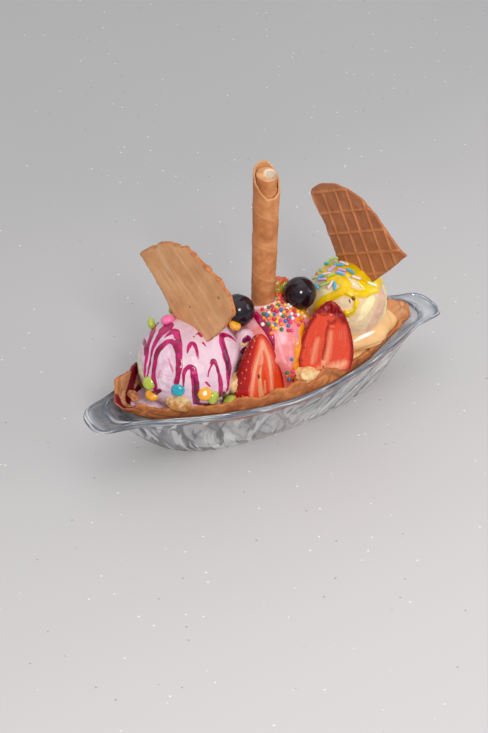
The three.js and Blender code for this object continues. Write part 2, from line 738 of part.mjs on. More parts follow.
function buildCandy({ centre, facing, size = 1 }, grow) {
  const profile = [];
  for (let i = 0; i <= candy.steps; i += 1) {
    const turn = -Math.PI / 2 + (Math.PI * i) / candy.steps;
    const atEnd = i === 0 || i === candy.steps;
    const wide = atEnd ? 0 : (size * candy.radius + grow) * Math.cos(turn) ** candy.blunt;
    profile.push(new THREE.Vector2(wide, (size * candy.halfThickness + grow) * Math.sin(turn)));
  }
  const geometry = new THREE.LatheGeometry(profile, candy.sides);
  const up = new THREE.Vector3(0, 1, 0);
  const turned = new THREE.Quaternion().setFromUnitVectors(up, vector(facing).normalize());
  geometry.applyQuaternion(turned);
  geometry.translate(...centre);
  return solidOf(geometry);
}

const pinkDressing = { runs: pinkRuns, toppings: beadSolids };
const creamDressing = { runs: creamRuns, footing: creamFoot, toppings: rodSolids };

// ---- the whole, in the order in which pieces give way to one another ----

const pieces = [
  { name: "glass_dish", material: glassMaterial, build: () => buildDish() },
  { name: "wafer_shell", material: waferMaterial, build: buildShell },
  { name: "melted_cream", material: plain(0xd8bccb, 0.4), build: buildMelt },
  { name: "rolled_wafer", material: waferMaterial, build: buildRoll },
  { name: "wafer_piece", material: plain(0xb98a60), build: buildPlainWafer },
  { name: "waffle_piece", material: plain(0x9c6238), build: buildGridWafer },
];
for (const [name, spec] of Object.entries(grapes)) {
  pieces.push({ name, material: plain(0x1c1418, 0.15), build: (grow) => buildGrape(spec, grow) });
}
Object.entries(candies).forEach(([name, spec], i) => {
  pieces.push({ name, material: plain(candyColours[i], 0.2), build: (grow) => buildCandy(spec, grow) });
});
for (const [name, spec] of Object.entries(berries)) {
  pieces.push({ name, material: plain(0xd84a2c, 0.35), build: (grow) => buildHalfBerry(spec, grow) });
}
pieces.push({
  name: "strawberry_piece",
  material: plain(0xc83220, 0.4),
  build: (grow) => buildLump(smallBerry, grow),
});
for (const [name, spec] of Object.entries(bananas)) {
  pieces.push({ name, material: plain(0xe9cf95), build: (grow) => buildLump(spec, grow) });
}
pieces.push(
  {
    name: "scoop_pink",
    material: plain(0xeb9196),
    build: (grow) => buildScoop(scoops.pink, grow, pinkDressing),
  },
  {
    name: "scoop_cream",
    material: plain(0xe6cfae),
    build: (grow) => buildScoop(scoops.cream, grow, creamDressing),
  },
  {
    name: "scoop_berry",
    material: plain(0xdcc6d2),
    build: (grow) => buildScoop(scoops.berry, grow, { runs: berryRuns }),
  },
);

function touching(a, b) {
  const one = a.boundingBox();
  const other = b.boundingBox();
  return [0, 1, 2].every((k) => one.min[k] < other.max[k] && other.min[k] < one.max[k]);
}

const split = new THREE.Group();
const tools = [];
for (const { name, material, build } of pieces) {
  let solid = build(0);
  for (const tool of tools) {
    if (touching(solid, tool)) {
      solid = solid.subtract(tool);
    }
  }
  const mesh = new THREE.Mesh(geometryOf(largestBody(solid.simplify(tidyStep))), material);
  mesh.name = name;
  split.add(mesh);
  if (name !== "glass_dish") {
    tools.push(build(gap));
  }
}

export default split;
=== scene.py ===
import bmesh
import bpy
import numpy as np
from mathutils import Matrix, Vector


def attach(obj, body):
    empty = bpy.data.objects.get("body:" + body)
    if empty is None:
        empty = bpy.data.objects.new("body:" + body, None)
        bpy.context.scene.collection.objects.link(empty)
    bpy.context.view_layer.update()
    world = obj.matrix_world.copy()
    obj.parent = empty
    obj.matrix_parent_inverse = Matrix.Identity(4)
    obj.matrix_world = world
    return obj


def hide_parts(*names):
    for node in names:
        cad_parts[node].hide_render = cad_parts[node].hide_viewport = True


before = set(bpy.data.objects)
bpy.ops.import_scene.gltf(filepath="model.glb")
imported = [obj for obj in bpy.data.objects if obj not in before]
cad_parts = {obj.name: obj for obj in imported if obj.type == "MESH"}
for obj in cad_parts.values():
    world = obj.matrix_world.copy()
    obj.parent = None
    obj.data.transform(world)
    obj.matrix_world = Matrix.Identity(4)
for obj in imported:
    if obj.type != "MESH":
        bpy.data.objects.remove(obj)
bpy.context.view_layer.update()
scene = bpy.context.scene
print("frame loaded")

# Camera, lights and floor

view = {"place": (-0.50516, -0.84573, 0.79208), "heading": 30.04, "dip": 37.76, "lens": 103.14, "sensor": 36}


def pointed(item, place, target):
    item.location = place
    item.rotation_euler = (Vector(target) - Vector(place)).to_track_quat("-Z", "Y").to_euler()


def addCamera():
    data = bpy.data.cameras.new("camera")
    data.lens = view["lens"]
    data.sensor_width = view["sensor"]
    data.clip_start = 0.01
    camera = bpy.data.objects.new("camera", data)
    scene.collection.objects.link(camera)
    heading, dip = np.radians(view["heading"]), np.radians(view["dip"])
    ahead = Vector((np.sin(heading) * np.cos(dip), np.cos(heading) * np.cos(dip), -np.sin(dip)))
    pointed(camera, view["place"], Vector(view["place"]) + ahead)
    scene.camera = camera


lamps = {
    "key": {"place": (-0.30, -1.15, 1.15), "target": (0, 0, 0.05), "size": 0.42, "power": 13,
            "colour": (1, 0.985, 0.96)},
    "top": {"place": (0.35, 0.25, 1.3), "target": (0, 0, 0), "size": 1.8, "power": 4,
            "colour": (0.95, 0.975, 1)},
    "side": {"place": (1.3, -0.7, 0.65), "target": (0, 0, 0.05), "size": 0.8, "power": 3.5,
             "colour": (1, 1, 1)},
}


def addLamp(name, place, target, size, power, colour):
    data = bpy.data.lights.new(name, "AREA")
    data.shape = "DISK"
    data.size = size
    data.energy = power
    data.color = colour
    lamp = bpy.data.objects.new(name, data)
    scene.collection.objects.link(lamp)
    pointed(lamp, place, target)


# Nodes and materials


def addNode(tree, kind, inputs=None, **settings):
    node = tree.nodes.new(kind)
    for key, value in settings.items():
        setattr(node, key, value)
    for key, value in (inputs or {}).items():
        if isinstance(value, bpy.types.NodeSocket):
            tree.links.new(value, node.inputs[key])
        else:
            node.inputs[key].default_value = value
    return node


# Socket labels are given with underscores for spaces
def newMaterial(name, **sockets):
    material = bpy.data.materials.new(name)
    material.use_nodes = True
    tree = material.node_tree
    shader = tree.nodes["Principled BSDF"]
    for key, value in sockets.items():
        label = key.replace("_", " ")
        shader.inputs[label].default_value = value
    return material, tree, shader


def feed(tree, shader, **sockets):
    for key, value in sockets.items():
        tree.links.new(value, shader.inputs[key.replace("_", " ")])


def linear(red, green, blue):
    shares = np.array([red, green, blue]) / 255
    bent = np.where(shares <= 0.04045, shares / 12.92, ((shares + 0.055) / 1.055) ** 2.4)
    return (*[float(v) for v in bent], 1.0)


def ramp(tree, factor, stops):
    node = addNode(tree, "ShaderNodeValToRGB", {"Fac": factor})
    elements = node.color_ramp.elements
    while len(elements) < len(stops):
        elements.new(0.5)
    for element, (place, colour) in zip(elements, stops):
        element.position = place
        element.color = colour if len(colour) == 4 else (*colour, 1)
    return node.outputs["Color"]


def mixed(tree, factor, a, b, blend="MIX"):
    node = addNode(tree, "ShaderNodeMix", data_type="RGBA", blend_type=blend)
    for slotIndex, value in ((0, factor), (6, a), (7, b)):
        if isinstance(value, bpy.types.NodeSocket):
            tree.links.new(value, node.inputs[slotIndex])
        else:
            node.inputs[slotIndex].default_value = value
    return node.outputs[2]


def arithmetic(tree, operation, a, b):
    return addNode(tree, "ShaderNodeMath", {0: a, 1: b}, operation=operation).outputs[0]


def product(tree, a, b):
    return arithmetic(tree, "MULTIPLY", a, b)


def added(tree, a, b):
    return arithmetic(tree, "ADD", a, b)


def between(tree, value, low, high, outLow=0.0, outHigh=1.0):
    keys = {"Value": value, "From Min": low, "From Max": high, "To Min": outLow, "To Max": outHigh}
    return addNode(tree, "ShaderNodeMapRange", keys).outputs["Result"]


def painted(tree, name):
    return addNode(tree, "ShaderNodeAttribute", attribute_name=name, attribute_type="GEOMETRY").outputs["Fac"]


def pointOf(tree):
    return addNode(tree, "ShaderNodeTexCoord").outputs["Object"]


def noise(tree, vector, scale, detail=3.0, roughness=0.55, distortion=0.0):
    keys = {"Vector": vector, "Scale": scale, "Detail": detail, "Roughness": roughness,
            "Distortion": distortion}
    return addNode(tree, "ShaderNodeTexNoise", keys).outputs["Fac"]


def cellAway(tree, vector, scale, feature="F1"):
    keys = {"Vector": vector, "Scale": scale}
    return addNode(tree, "ShaderNodeTexVoronoi", keys, feature=feature).outputs["Distance"]


def stretched(tree, vector, scale, turn=(0, 0, 0)):
    keys = {"Vector": vector, "Scale": scale, "Rotation": turn}
    return addNode(tree, "ShaderNodeMapping", keys).outputs["Vector"]


def bumped(tree, shader, height, distance, strength=1.0):
    bump = addNode(tree, "ShaderNodeBump", {"Height": height, "Distance": distance, "Strength": strength})
    tree.links.new(bump.outputs["Normal"], shader.inputs["Normal"])


def startGroup(name, inputs, outputs):
    group = bpy.data.node_groups.new(name, "ShaderNodeTree")
    for label, kind, value in inputs:
        socket = group.interface.new_socket(label, in_out="INPUT", socket_type="NodeSocket" + kind)
        if value is not None:
            socket.default_value = value
    for label, kind in outputs:
        group.interface.new_socket(label, in_out="OUTPUT", socket_type="NodeSocket" + kind)
    return group, group.nodes.new("NodeGroupInput").outputs, group.nodes.new("NodeGroupOutput").inputs


# Baked crumb: blisters, fine pores and a toasted share that varies over the sheet
def makeBakedGroup():
    inputs = [("Vector", "Vector", None), ("Blister Scale", "Float", 160.0), ("Pore Scale", "Float", 1400.0),
              ("Pale", "Color", linear(215, 150, 95)), ("Toasted", "Color", linear(170, 100, 55)),
              ("Edge", "Float", 0.0), ("Edge Colour", "Color", linear(196, 96, 40))]
    outputs = [("Colour", "Color"), ("Height", "Float"), ("Roughness", "Float")]
    group, given, out = startGroup("bakedCrumb", inputs, outputs)
    blister = noise(group, given["Vector"], 1.0)
    group.links.new(given["Blister Scale"], blister.node.inputs["Scale"])
    pore = noise(group, given["Vector"], 1.0, detail=5.0)
    group.links.new(given["Pore Scale"], pore.node.inputs["Scale"])
    broad = noise(group, given["Vector"], 45.0, detail=2.0)
    toasted = between(group, added(group, blister, broad), 0.78, 1.22)
    colour = mixed(group, toasted, given["Pale"], given["Toasted"])
    speck = between(group, pore, 0.62, 0.74, 0.0, 0.45)
    colour = mixed(group, speck, colour, given["Edge Colour"])
    colour = mixed(group, given["Edge"], colour, given["Edge Colour"])
    group.links.new(colour, out["Colour"])
    height = added(group, product(group, blister, 0.7), product(group, pore, 0.3))
    group.links.new(height, out["Height"])
    group.links.new(between(group, pore, 0.3, 0.7, 0.55, 0.78), out["Roughness"])
    return group


# Ice crystals and churned streaks in ice cream
def makeChurnedGroup():
    inputs = [("Vector", "Vector", None), ("Scale", "Float", 260.0), ("Main", "Color", linear(230, 205, 220)),
              ("Streak", "Color", linear(210, 180, 200)), ("Streak Share", "Float", 0.6),
              ("Icy", "Float", 0.0)]
    outputs = [("Colour", "Color"), ("Height", "Float"), ("Roughness", "Float")]
    group, given, out = startGroup("churnedCream", inputs, outputs)
    fine = noise(group, given["Vector"], 1.0, detail=5.0, roughness=0.65)
    group.links.new(given["Scale"], fine.node.inputs["Scale"])
    crystal = noise(group, given["Vector"], 1500.0, detail=2.0)
    streak = noise(group, stretched(group, given["Vector"], (1.0, 1.0, 0.45)), 55.0, detail=3.0,
                   distortion=0.6)
    share = product(group, between(group, streak, 0.42, 0.66), given["Streak Share"])
    group.links.new(mixed(group, share, given["Main"], given["Streak"]), out["Colour"])
    height = added(group, product(group, fine, 0.6), product(group, crystal, 0.15))
    icy = product(group, product(group, crystal, 1.2), given["Icy"])
    group.links.new(added(group, height, icy), out["Height"])
    wet = between(group, fine, 0.35, 0.65, 0.28, 0.46)
    group.links.new(added(group, wet, product(group, given["Icy"], 0.25)), out["Roughness"])
    return group


bakedGroup = makeBakedGroup()
churnedGroup = makeChurnedGroup()


def placeGroup(tree, group, inputs):
    return addNode(tree, "ShaderNodeGroup", inputs, node_tree=group).outputs


# Shapes


def unit(vectors):
    return vectors / np.linalg.norm(vectors, axis=-1, keepdims=True)


def towards(azimuth, elevation):
    a, e = np.radians(azimuth), np.radians(elevation)
    return np.stack([np.cos(e) * np.cos(a), np.cos(e) * np.sin(a), np.sin(e) + 0 * a], -1)


# Smooth value noise between -1 and 1, with lumps of the given size
def lumpy(points, size, seed=0):
    spots = np.asarray(points) / size + seed * 17.31
    base = np.floor(spots).astype(np.int64)
    share = spots - base
    share = share * share * (3 - 2 * share)
    total = np.zeros(len(spots))
    for corner in range(8):
        offset = np.array([(corner >> k) & 1 for k in range(3)])
        x, y, z = (base + offset).T
        code = (x * 374761393 + y * 668265263 + z * 1440662683 + seed * 7919) & 0xFFFFFFFF
        code = ((code ^ (code >> 13)) * 1274126177) & 0xFFFFFFFF
        height = ((code ^ (code >> 16)) & 0xFFFF) / 32767.5 - 1
        total += height * np.prod(np.where(offset, share, 1 - share), axis=1)
    return total


def gridFaces(rows, columns, around=True):
    row, column = np.meshgrid(np.arange(rows - 1), np.arange(columns if around else columns - 1),
                              indexing="ij")
    a, b = row * columns + column, row * columns + (column + 1) % columns
    return np.stack([a, b, b + columns, a + columns], -1).reshape(-1, 4)


def makePiece(name, points, faces, material, nodes=(), slot=None, masks=None, colours=None):
    mesh = bpy.data.meshes.new(name)
    mesh.from_pydata(np.asarray(points).tolist(), [], [list(map(int, face)) for face in faces])
    mesh.polygons.foreach_set("use_smooth", [True] * len(mesh.polygons))
    for label, values in (masks or {}).items():
        mesh.attributes.new(label, "FLOAT", "POINT").data.foreach_set("value", np.asarray(values, np.float32))
    if colours is not None:
        layer = mesh.color_attributes.new("tint", "FLOAT_COLOR", "POINT")
        layer.data.foreach_set("color", np.asarray(colours, np.float32).ravel())
    mesh.materials.append(material)
    piece = bpy.data.objects.new(name, mesh)
    scene.collection.objects.link(piece)
    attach(piece, "root")
    for node in nodes:
        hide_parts(node)
    return piece


# Rings of points joined into a closed skin, with a fan of faces over each end
def loftPiece(name, rings, material, masks=None, **extra):
    rows, columns = len(rings), len(rings[0])
    points = np.concatenate([*rings, [rings[0].mean(0)], [rings[-1].mean(0)]])
    first, last, top = rows * columns, rows * columns + 1, (rows - 1) * columns
    turn = np.arange(columns)
    ahead = (turn + 1) % columns
    fans = [(first, ahead[i], turn[i]) for i in turn] + [(last, top + turn[i], top + ahead[i]) for i in turn]
    padded = {}
    for label, values in (masks or {}).items():
        values = np.asarray(values).reshape(rows, columns)
        padded[label] = np.concatenate([values.ravel(), [values[0].mean()], [values[-1].mean()]])
    return makePiece(name, points, [*gridFaces(rows, columns), *fans], material, masks=padded, **extra)


ballCache = {}


def ballMesh(fineness):
    if fineness not in ballCache:
        ball = bmesh.new()
        bmesh.ops.create_icosphere(ball, subdivisions=fineness, radius=1)
        points = unit(np.array([v.co[:] for v in ball.verts]))
        faces = np.array([[v.index for v in f.verts] for f in ball.faces])
        ball.free()
        ballCache[fineness] = (points, faces)
    return ballCache[fineness]


def smoothPath(points, count):
    points = np.asarray(points, float)
    padded = np.vstack([2 * points[0] - points[1], points, 2 * points[-1] - points[-2]])
    spots = np.linspace(0, len(points) - 1 - 1e-9, count)
    i = spots.astype(int)
    t = (spots - i)[:, None]
    p0, p1, p2, p3 = padded[i], padded[i + 1], padded[i + 2], padded[i + 3]
    return 0.5 * (2 * p1 + (p2 - p0) * t + (2 * p0 - 5 * p1 + 4 * p2 - p3) * t**2
                  + (3 * p1 - p0 - 3 * p2 + p3) * t**3)


def fullTurn(count):
    return np.linspace(0, 2 * np.pi, count, endpoint=False)


def stepped(value, low, high):
    t = np.clip((value - low) / (high - low), 0, 1)
    return t * t * (3 - 2 * t)


# The glass dish

dish = {
    "halfLength": 0.119, "bellyHalfWidth": 0.0436, "bellyHalfLength": 0.105, "bellyPower": 1.3,
    "lipHalfWidth": 0.014, "lipRounding": 0.018, "lipPower": 4, "lipBlunt": 0.4, "lipDroop": 0.0022,
    "droopStart": 0.095, "rimHeight": 0.036, "wall": 0.0035, "floor": 0.006, "cavityHalfLength": 0.104,
    "foot": (0.066, 0.0272), "cavityFloor": (0.060, 0.022), "ovalBlunt": 0.35, "columns": 500,
}
# The bowl keeps full right up to its ends, and the flat lips reach on from its upper edge
dishEnds = {"power": 0.62, "from": 0.75, "to": 0.95, "lipFrom": 0.84, "lipTo": 0.985, "bowl": 0.1035,
            "hollow": 0.0985}
dishRim = {"round": 0.0017, "drop": 0.0016, "plateDip": 0.0013, "plateFrom": 0.0021, "plateTo": 0.0044,
           "lines": 0.00004, "linePitch": 0.0021, "beadSpan": 0.003, "samples": 10}
pressed = {"pitch": 0.0195, "slant": 0.6, "wander": 0.0009, "halfLength": 0.0084, "halfHeight": 0.0135,
           "height": 0.0185, "square": 2.8, "depth": 0.0014, "border": 0.07, "borderRise": 0.0004,
           "leaf": 0.0005, "fade": 0.015, "fanFrom": 0.074, "fanTo": 0.086, "fanPitch": 0.0095,
           "fanDepth": 0.0011, "flute": 0.0005, "flutePitch": 0.006, "fluteTop": 0.009}

# A painted line of wafer colour under the rim stands in for the wafer's edge seen through the glass
waferSeenThroughGlass = {"middle": 0.018, "reach": 0.078, "down": 0.0044, "half": 0.0016}


def bellyHalfWidth(x):
    share = np.minimum(1, np.abs(x) / dish["bellyHalfLength"])
    swell = dish["bellyHalfWidth"] - dish["lipHalfWidth"]
    return dish["lipHalfWidth"] + swell * (1 - share**2) ** dish["bellyPower"]


# Evenly spaced points of the boat outline, anticlockwise from the right tip
def boatOutline(halfLength, inset, columns):
    turn = np.linspace(0, 2 * np.pi, 4 * columns + 1)
    x = halfLength * np.cos(turn)
    tip = np.maximum(0, (np.abs(x) - halfLength) / dish["lipRounding"] + 1)
    closing = np.maximum(0, 1 - tip ** dish["lipPower"]) ** dish["lipBlunt"]
    y = (bellyHalfWidth(x) - inset) * closing * np.where(turn < np.pi, 1, -1)
    along = np.concatenate([[0], np.cumsum(np.hypot(np.diff(x), np.diff(y)))])
    spots = np.linspace(0, along[-1], columns, endpoint=False)
    return np.stack([np.interp(spots, along, x), np.interp(spots, along, y)], -1)


def rimHeightAt(x):
    past = np.maximum(0, np.abs(x) - dish["droopStart"]) / (dish["halfLength"] - dish["droopStart"])
    return dish["rimHeight"] - dish["lipDroop"] * past**2


# The outline drawn in towards an oval: share 0 is the oval, share 1 the outline
def flared(outline, oval, share, bowl=None):
    reach = outline[:, 0].max()
    turn = np.minimum(1, np.abs(outline[:, 0]) / reach)
    ovalX = outline[:, 0] / reach * oval[0]
    ovalY = np.sign(outline[:, 1]) * oval[1] * (1 - turn**2) ** dish["ovalBlunt"]
    along = share
    if bowl:
        bowlShare = (bowl - oval[0]) / (reach - oval[0])
        nearEnd = stepped(turn, dishEnds["from"], dishEnds["to"])
        onLip = stepped(share, dishEnds["lipFrom"], dishEnds["lipTo"])
        inBowl = share ** dishEnds["power"] * (1 + (bowlShare - 1) * nearEnd)
        along = inBowl + (1 - bowlShare) * nearEnd * onLip
    x = ovalX + (outline[:, 0] - ovalX) * along
    return np.stack([x, ovalY + (outline[:, 1] - ovalY) * share], -1)


def movedInwards(ring, depth):
    ahead, behind = np.roll(ring[:, :2], -1, 0), np.roll(ring[:, :2], 1, 0)
    inward = unit(np.stack([behind[:, 1] - ahead[:, 1], ahead[:, 0] - behind[:, 0]], -1) + 1e-12)
    moved = ring.copy()
    moved[:, :2] += inward * np.reshape(depth, (-1, 1))
    return moved


def with3(flat, z):
    return np.column_stack([flat, np.broadcast_to(z, len(flat))])


# Depth of the pressed ovals, the fans at the ends and the flutes over the foot, with two masks for the colour
def pressedPattern(x, z):
    pitch = pressed["pitch"]
    spots = np.stack([x, z, 0 * x], -1)
    x = x + pressed["wander"] * lumpy(spots, 0.006, 15)
    z = z + pressed["wander"] * lumpy(spots, 0.005, 16)
    slanted = x - pressed["slant"] * np.sign(x) * (z - pressed["height"])
    across = (slanted - pitch * np.round(slanted / pitch)) / pressed["halfLength"]
    up = (z - pressed["height"]) / pressed["halfHeight"]
    square = pressed["square"]
    round2 = (np.abs(across) ** square + np.abs(up) ** square) ** (2 / square)
    onSides = 1 - stepped(np.abs(x), pressed["fanFrom"], pressed["fanTo"])
    window = stepped(-np.sqrt(round2), -1, -0.9) * onSides
    leaf = np.maximum(0, np.cos(7 * np.arctan2(up + 1.1, across))) * stepped(-round2, -0.9, -0.3)
    border = np.exp(-(((np.sqrt(round2) - 1.04) / pressed["border"]) ** 2))
    depth = pressed["depth"] * np.maximum(0, 1 - round2) ** 0.6 - pressed["borderRise"] * border
    depth -= pressed["leaf"] * leaf
    fan = np.abs(np.sin(np.pi * (np.abs(x) - 0.9 * z) / pressed["fanPitch"]))
    flute = pressed["flute"] * np.abs(np.sin(np.pi * x / pressed["flutePitch"]))
    depth = depth * onSides + pressed["fanDepth"] * fan * (1 - onSides) * stepped(-z, -0.032, -0.028)
    depth += flute * stepped(-z, -pressed["fluteTop"], -pressed["fluteTop"] / 3)
    crease = np.maximum(border * onSides, (1 - fan) ** 3 * (1 - onSides))
    return depth, np.maximum(window, fan**2 * (1 - onSides)), np.clip(crease + 0.6 * leaf * onSides, 0, 1)


def buildDish(material):
    rim = boatOutline(dish["halfLength"], 0, dish["columns"])
    cavity = boatOutline(dish["cavityHalfLength"], dish["wall"], dish["columns"])
    top = rimHeightAt(rim[:, 0])
    none = np.zeros(len(rim))
    rings, windows, creases, onRim, downs, waferLines = [], [], [], [], [], []

    def add(ring, window=none, crease=none, rimShare=0.0, down=0.0, tint=none):
        rings.append(ring)
        windows.append(window)
        creases.append(crease)
        onRim.append(none + rimShare)
        downs.append(none + down)
        waferLines.append(none + tint)

    foot = with3(flared(rim, dish["foot"], 0), 0)
    for inset, rise in ((0.012, 0.0009), (0.004, 0.0), (0.001, 0.0)):
        add(movedInwards(foot + (0, 0, rise), inset))
    lipFrom, lipTo = dishEnds["lipFrom"], dishEnds["lipTo"]
    for share in np.concatenate([np.linspace(0.02, lipFrom, 46), np.linspace(lipFrom, lipTo, 16)[1:]]):
        past = max(0, (share - lipFrom) / (lipTo - lipFrom))
        z = share * top if past == 0 else lipFrom * top + (top - dishRim["drop"] - lipFrom * top) * past
        ring = with3(flared(rim, dish["foot"], share, dishEnds["bowl"]), z)
        depth, window, crease = pressedPattern(ring[:, 0], ring[:, 2])
        shown = 1 - stepped(share, 0.86, 0.93)
        fade = np.minimum(1, np.abs(ring[:, 1]) / pressed["fade"])
        ring[:, 1] -= np.sign(ring[:, 1]) * depth * fade * shown
        seen = 1 - stepped(np.abs(ring[:, 0] - waferSeenThroughGlass["middle"]), waferSeenThroughGlass["reach"] - 0.012,
                           waferSeenThroughGlass["reach"])
        tint = seen * np.exp(-(((top - waferSeenThroughGlass["down"] - ring[:, 2]) / waferSeenThroughGlass["half"]) ** 2))
        add(ring, window * shown, crease * shown, stepped(share, 0.9, 0.95), (1 - share) * dish["rimHeight"],
            tint)
    # Over the rim: a round bead at each edge, and a shallow dish between the beads on the lips
    outer, inner = with3(rim, top), with3(cavity, rimHeightAt(cavity[:, 0]))
    width = np.linalg.norm((outer - inner)[:, :2], axis=1)
    bead = np.minimum(dishRim["beadSpan"], width / 2)
    ease = 1 - np.cos(np.linspace(0, np.pi / 2, dishRim["samples"]))
    steps = [bead * t for t in ease] + [bead + (width - 2 * bead) * t for t in np.linspace(0, 1, 14)[1:-1]]
    steps += [width - bead * t for t in ease[::-1]]
    for distance in steps:
        share = (distance / width)[:, None]
        ring = outer * (1 - share) + inner * share
        near = np.minimum(distance, width - distance)
        rounding = 1 - np.sqrt(1 - np.maximum(0, 1 - near / dishRim["round"]) ** 2)
        plate = stepped(near, dishRim["plateFrom"], dishRim["plateTo"])
        lines = dishRim["lines"] * np.sin(near * 2 * np.pi / dishRim["linePitch"])
        ring[:, 2] -= dishRim["drop"] * rounding + (dishRim["plateDip"] + lines) * plate
        add(ring, none, none, 1 - plate, -distance)
    cavityTop = rimHeightAt(cavity[:, 0]) - 0.0022
    for share in np.linspace(0.97, 0, 30):
        z = dish["floor"] + (cavityTop - dish["floor"]) * share
        add(with3(flared(cavity, dish["cavityFloor"], share, dishEnds["hollow"]), z), none, none, 0, -0.01)
    floorRing = rings[-1]
    for shrink in (0.7, 0.35):
        add(floorRing * (shrink, shrink, 1), none, none, 0, -0.01)
    around = np.concatenate([[0], np.cumsum(np.linalg.norm(np.diff(rim, axis=0), axis=1))])
    masks = {"window": windows, "crease": creases, "rim": onRim, "down": downs, "tint": waferLines,
             "around": [around] * len(rings)}
    body = loftPiece("dish_glass_body", rings, material, nodes=["glass_dish"], slot="dish_glass", masks=masks)
    # Clear glass lets the lamps through to the table
    body.visible_shadow = False


def glassMaterial():
    material, tree, shader = newMaterial("pressedGlass", Transmission_Weight=0.55, IOR=1.48, Roughness=0.03)
    spot = pointOf(tree)
    around, down = painted(tree, "around"), painted(tree, "down")

    def flow(acrossScale, slantScale, downScale, detail, distortion):
        slanted = added(tree, product(tree, around, acrossScale),
                             product(tree, down, slantScale))
        keys = {"X": slanted, "Y": product(tree, down, downScale)}
        spots = addNode(tree, "ShaderNodeCombineXYZ", keys).outputs[0]
        return noise(tree, spots, 1.0, detail=detail, distortion=distortion)

    # Painted light: the pale grey of the glass stands in for light passing through clear glass
    cloud = noise(tree, spot, 30.0)
    colour = mixed(tree, between(tree, cloud, 0.35, 0.65), linear(212, 214, 218), linear(188, 191, 196))
    # Painted light: pale windows, thin creases of painted shade between them, and light and dark tongues of
    # painted reflection leaning down the walls
    windows = mixed(tree, between(tree, cloud, 0.45, 0.55), linear(255, 254, 252), linear(222, 224, 227))
    # The walls are painted darker towards the left end and paler towards the right, and painted shade from
    # the lip's underside crosses the left lip
    x = addNode(tree, "ShaderNodeSeparateXYZ", {"Vector": spot}).outputs["X"]
    clear = mixed(tree, between(tree, x, -0.07, 0.0), linear(148, 145, 148), linear(236, 229, 224))
    lipShade = product(tree, between(tree, x, -0.119, -0.11), between(tree, x, -0.092, -0.08, 0.95, 0.0))
    colour = mixed(tree, lipShade, colour, linear(118, 116, 120))
    walls = mixed(tree, product(tree, painted(tree, "window"), 0.6), clear, windows)
    walls = mixed(tree, product(tree, painted(tree, "crease"), 0.5), walls, linear(112, 117, 126))
    tongues = flow(125.0, 95.0, 40.0, 2.0, 0.8)
    walls = mixed(tree, between(tree, tongues, 0.4, 0.37, 0.0, 0.6), walls, linear(98, 104, 114))
    walls = mixed(tree, between(tree, tongues, 0.54, 0.58, 0.0, 1.0), walls, linear(255, 255, 254))
    # Painted wafer edge seen through the glass, under the rim
    walls = mixed(tree, product(tree, painted(tree, "tint"), 0.95), walls, linear(190, 88, 46))
    colour = mixed(tree, between(tree, down, 0.0, 0.001), colour, walls)
    # Painted reflections: dark and white streaks over the rim
    streaks = ramp(tree, flow(40.0, 0.0, 800.0, 3.0, 0.4), [
        (0.4, linear(88, 97, 112)), (0.48, linear(134, 142, 154)), (0.56, linear(182, 188, 196)),
        (0.61, linear(255, 255, 255))])
    colour = mixed(tree, painted(tree, "rim"), colour, streaks)
    feed(tree, shader, Base_Color=colour)
    bumped(tree, shader, added(tree, cloud, product(tree, tongues, 0.5)), 0.0012, 0.3)
    return material


# The wafer shell and the melted cream

shell = {
    "thickness": 0.002, "rimHalfLength": 0.094, "clearance": 0.0006, "columns": 500, "floor": (0.057, 0.0204),
    "leftReach": 0.1015, "rightReach": 0.1005, "reachPower": 2.4, "level": 0.0393, "fallAlong": 0.014,
    "sideBlend": 0.012, "pleats": 0.0009, "crumble": 0.0009, "ribPitch": 0.011, "ribWidth": 0.0009,
    "ribHeight": 0.0004, "rimRound": 0.0012, "endFolds": 0.0016, "endFrom": (0.07, 0.085),
    "endPitch": (0.0042, 0.011),
}
# place along the dish, side (-1 front, 1 back), rise, half width
shellFolds = [
    (-0.080, 1, 0.0095, 0.017), (-0.095, 1, 0.009, 0.013), (-0.030, 1, 0.004, 0.050),
    (0.060, 1, 0.0025, 0.045), (-0.091, -1, 0.0032, 0.008), (-0.036, -1, 0.0024, 0.009),
    (-0.015, -1, 0.004, 0.013), (-0.002, -1, 0.0058, 0.008), (0.017, -1, 0.0068, 0.010),
    (0.028, -1, 0.003, 0.010),
]
# Sauce on the shell's left end, as points along each streak in millimetres and a width
shellStains = [
    ([(-79.4, 16.3, 49.3), (-82, 14.1, 46), (-84.5, 12.1, 41), (-87.3, 9.5, 36.5), (-89.7, 6.4, 34.4)], 7.4),
    ([(-99.8, -0.1, 43.7), (-97.9, -2.6, 42.5), (-95.4, -5, 40.3), (-94.6, -8, 40.6)], 8),
    ([(-79.5, 13.5, 34.6), (-80.4, 12.1, 34)], 5),
]


def shellEdge(outline):
    x, y = outline.T
    reach = np.where(x < 0, shell["leftReach"], shell["rightReach"])
    over = (np.abs(x) / shell["rimHalfLength"]) ** shell["reachPower"]
    x = x + np.sign(x) * (reach - shell["rimHalfLength"]) * over
    z = shell["level"] - shell["fallAlong"] * x
    for at, side, rise, halfWidth in shellFolds:
        away = np.minimum(1, np.abs(x - at) / halfWidth)
        z = z + rise * np.clip(0.5 + side * y / shell["sideBlend"], 0, 1) * np.cos(np.pi * away / 2) ** 2
    return np.stack([x, y, z], -1)


def shellRing(outline, share, depth):
    bottom, top = dish["floor"] + shell["clearance"], dish["rimHeight"] - shell["rimRound"]
    z = bottom + (top - bottom) * share + depth * (1 - share) ** 0.7
    return movedInwards(with3(flared(outline, shell["floor"], share), z), depth)


def shellOutline(columns):
    outline = boatOutline(dish["cavityHalfLength"], dish["wall"] + shell["clearance"], columns)
    outline[:, 0] *= shell["rimHalfLength"] / dish["cavityHalfLength"]
    return outline


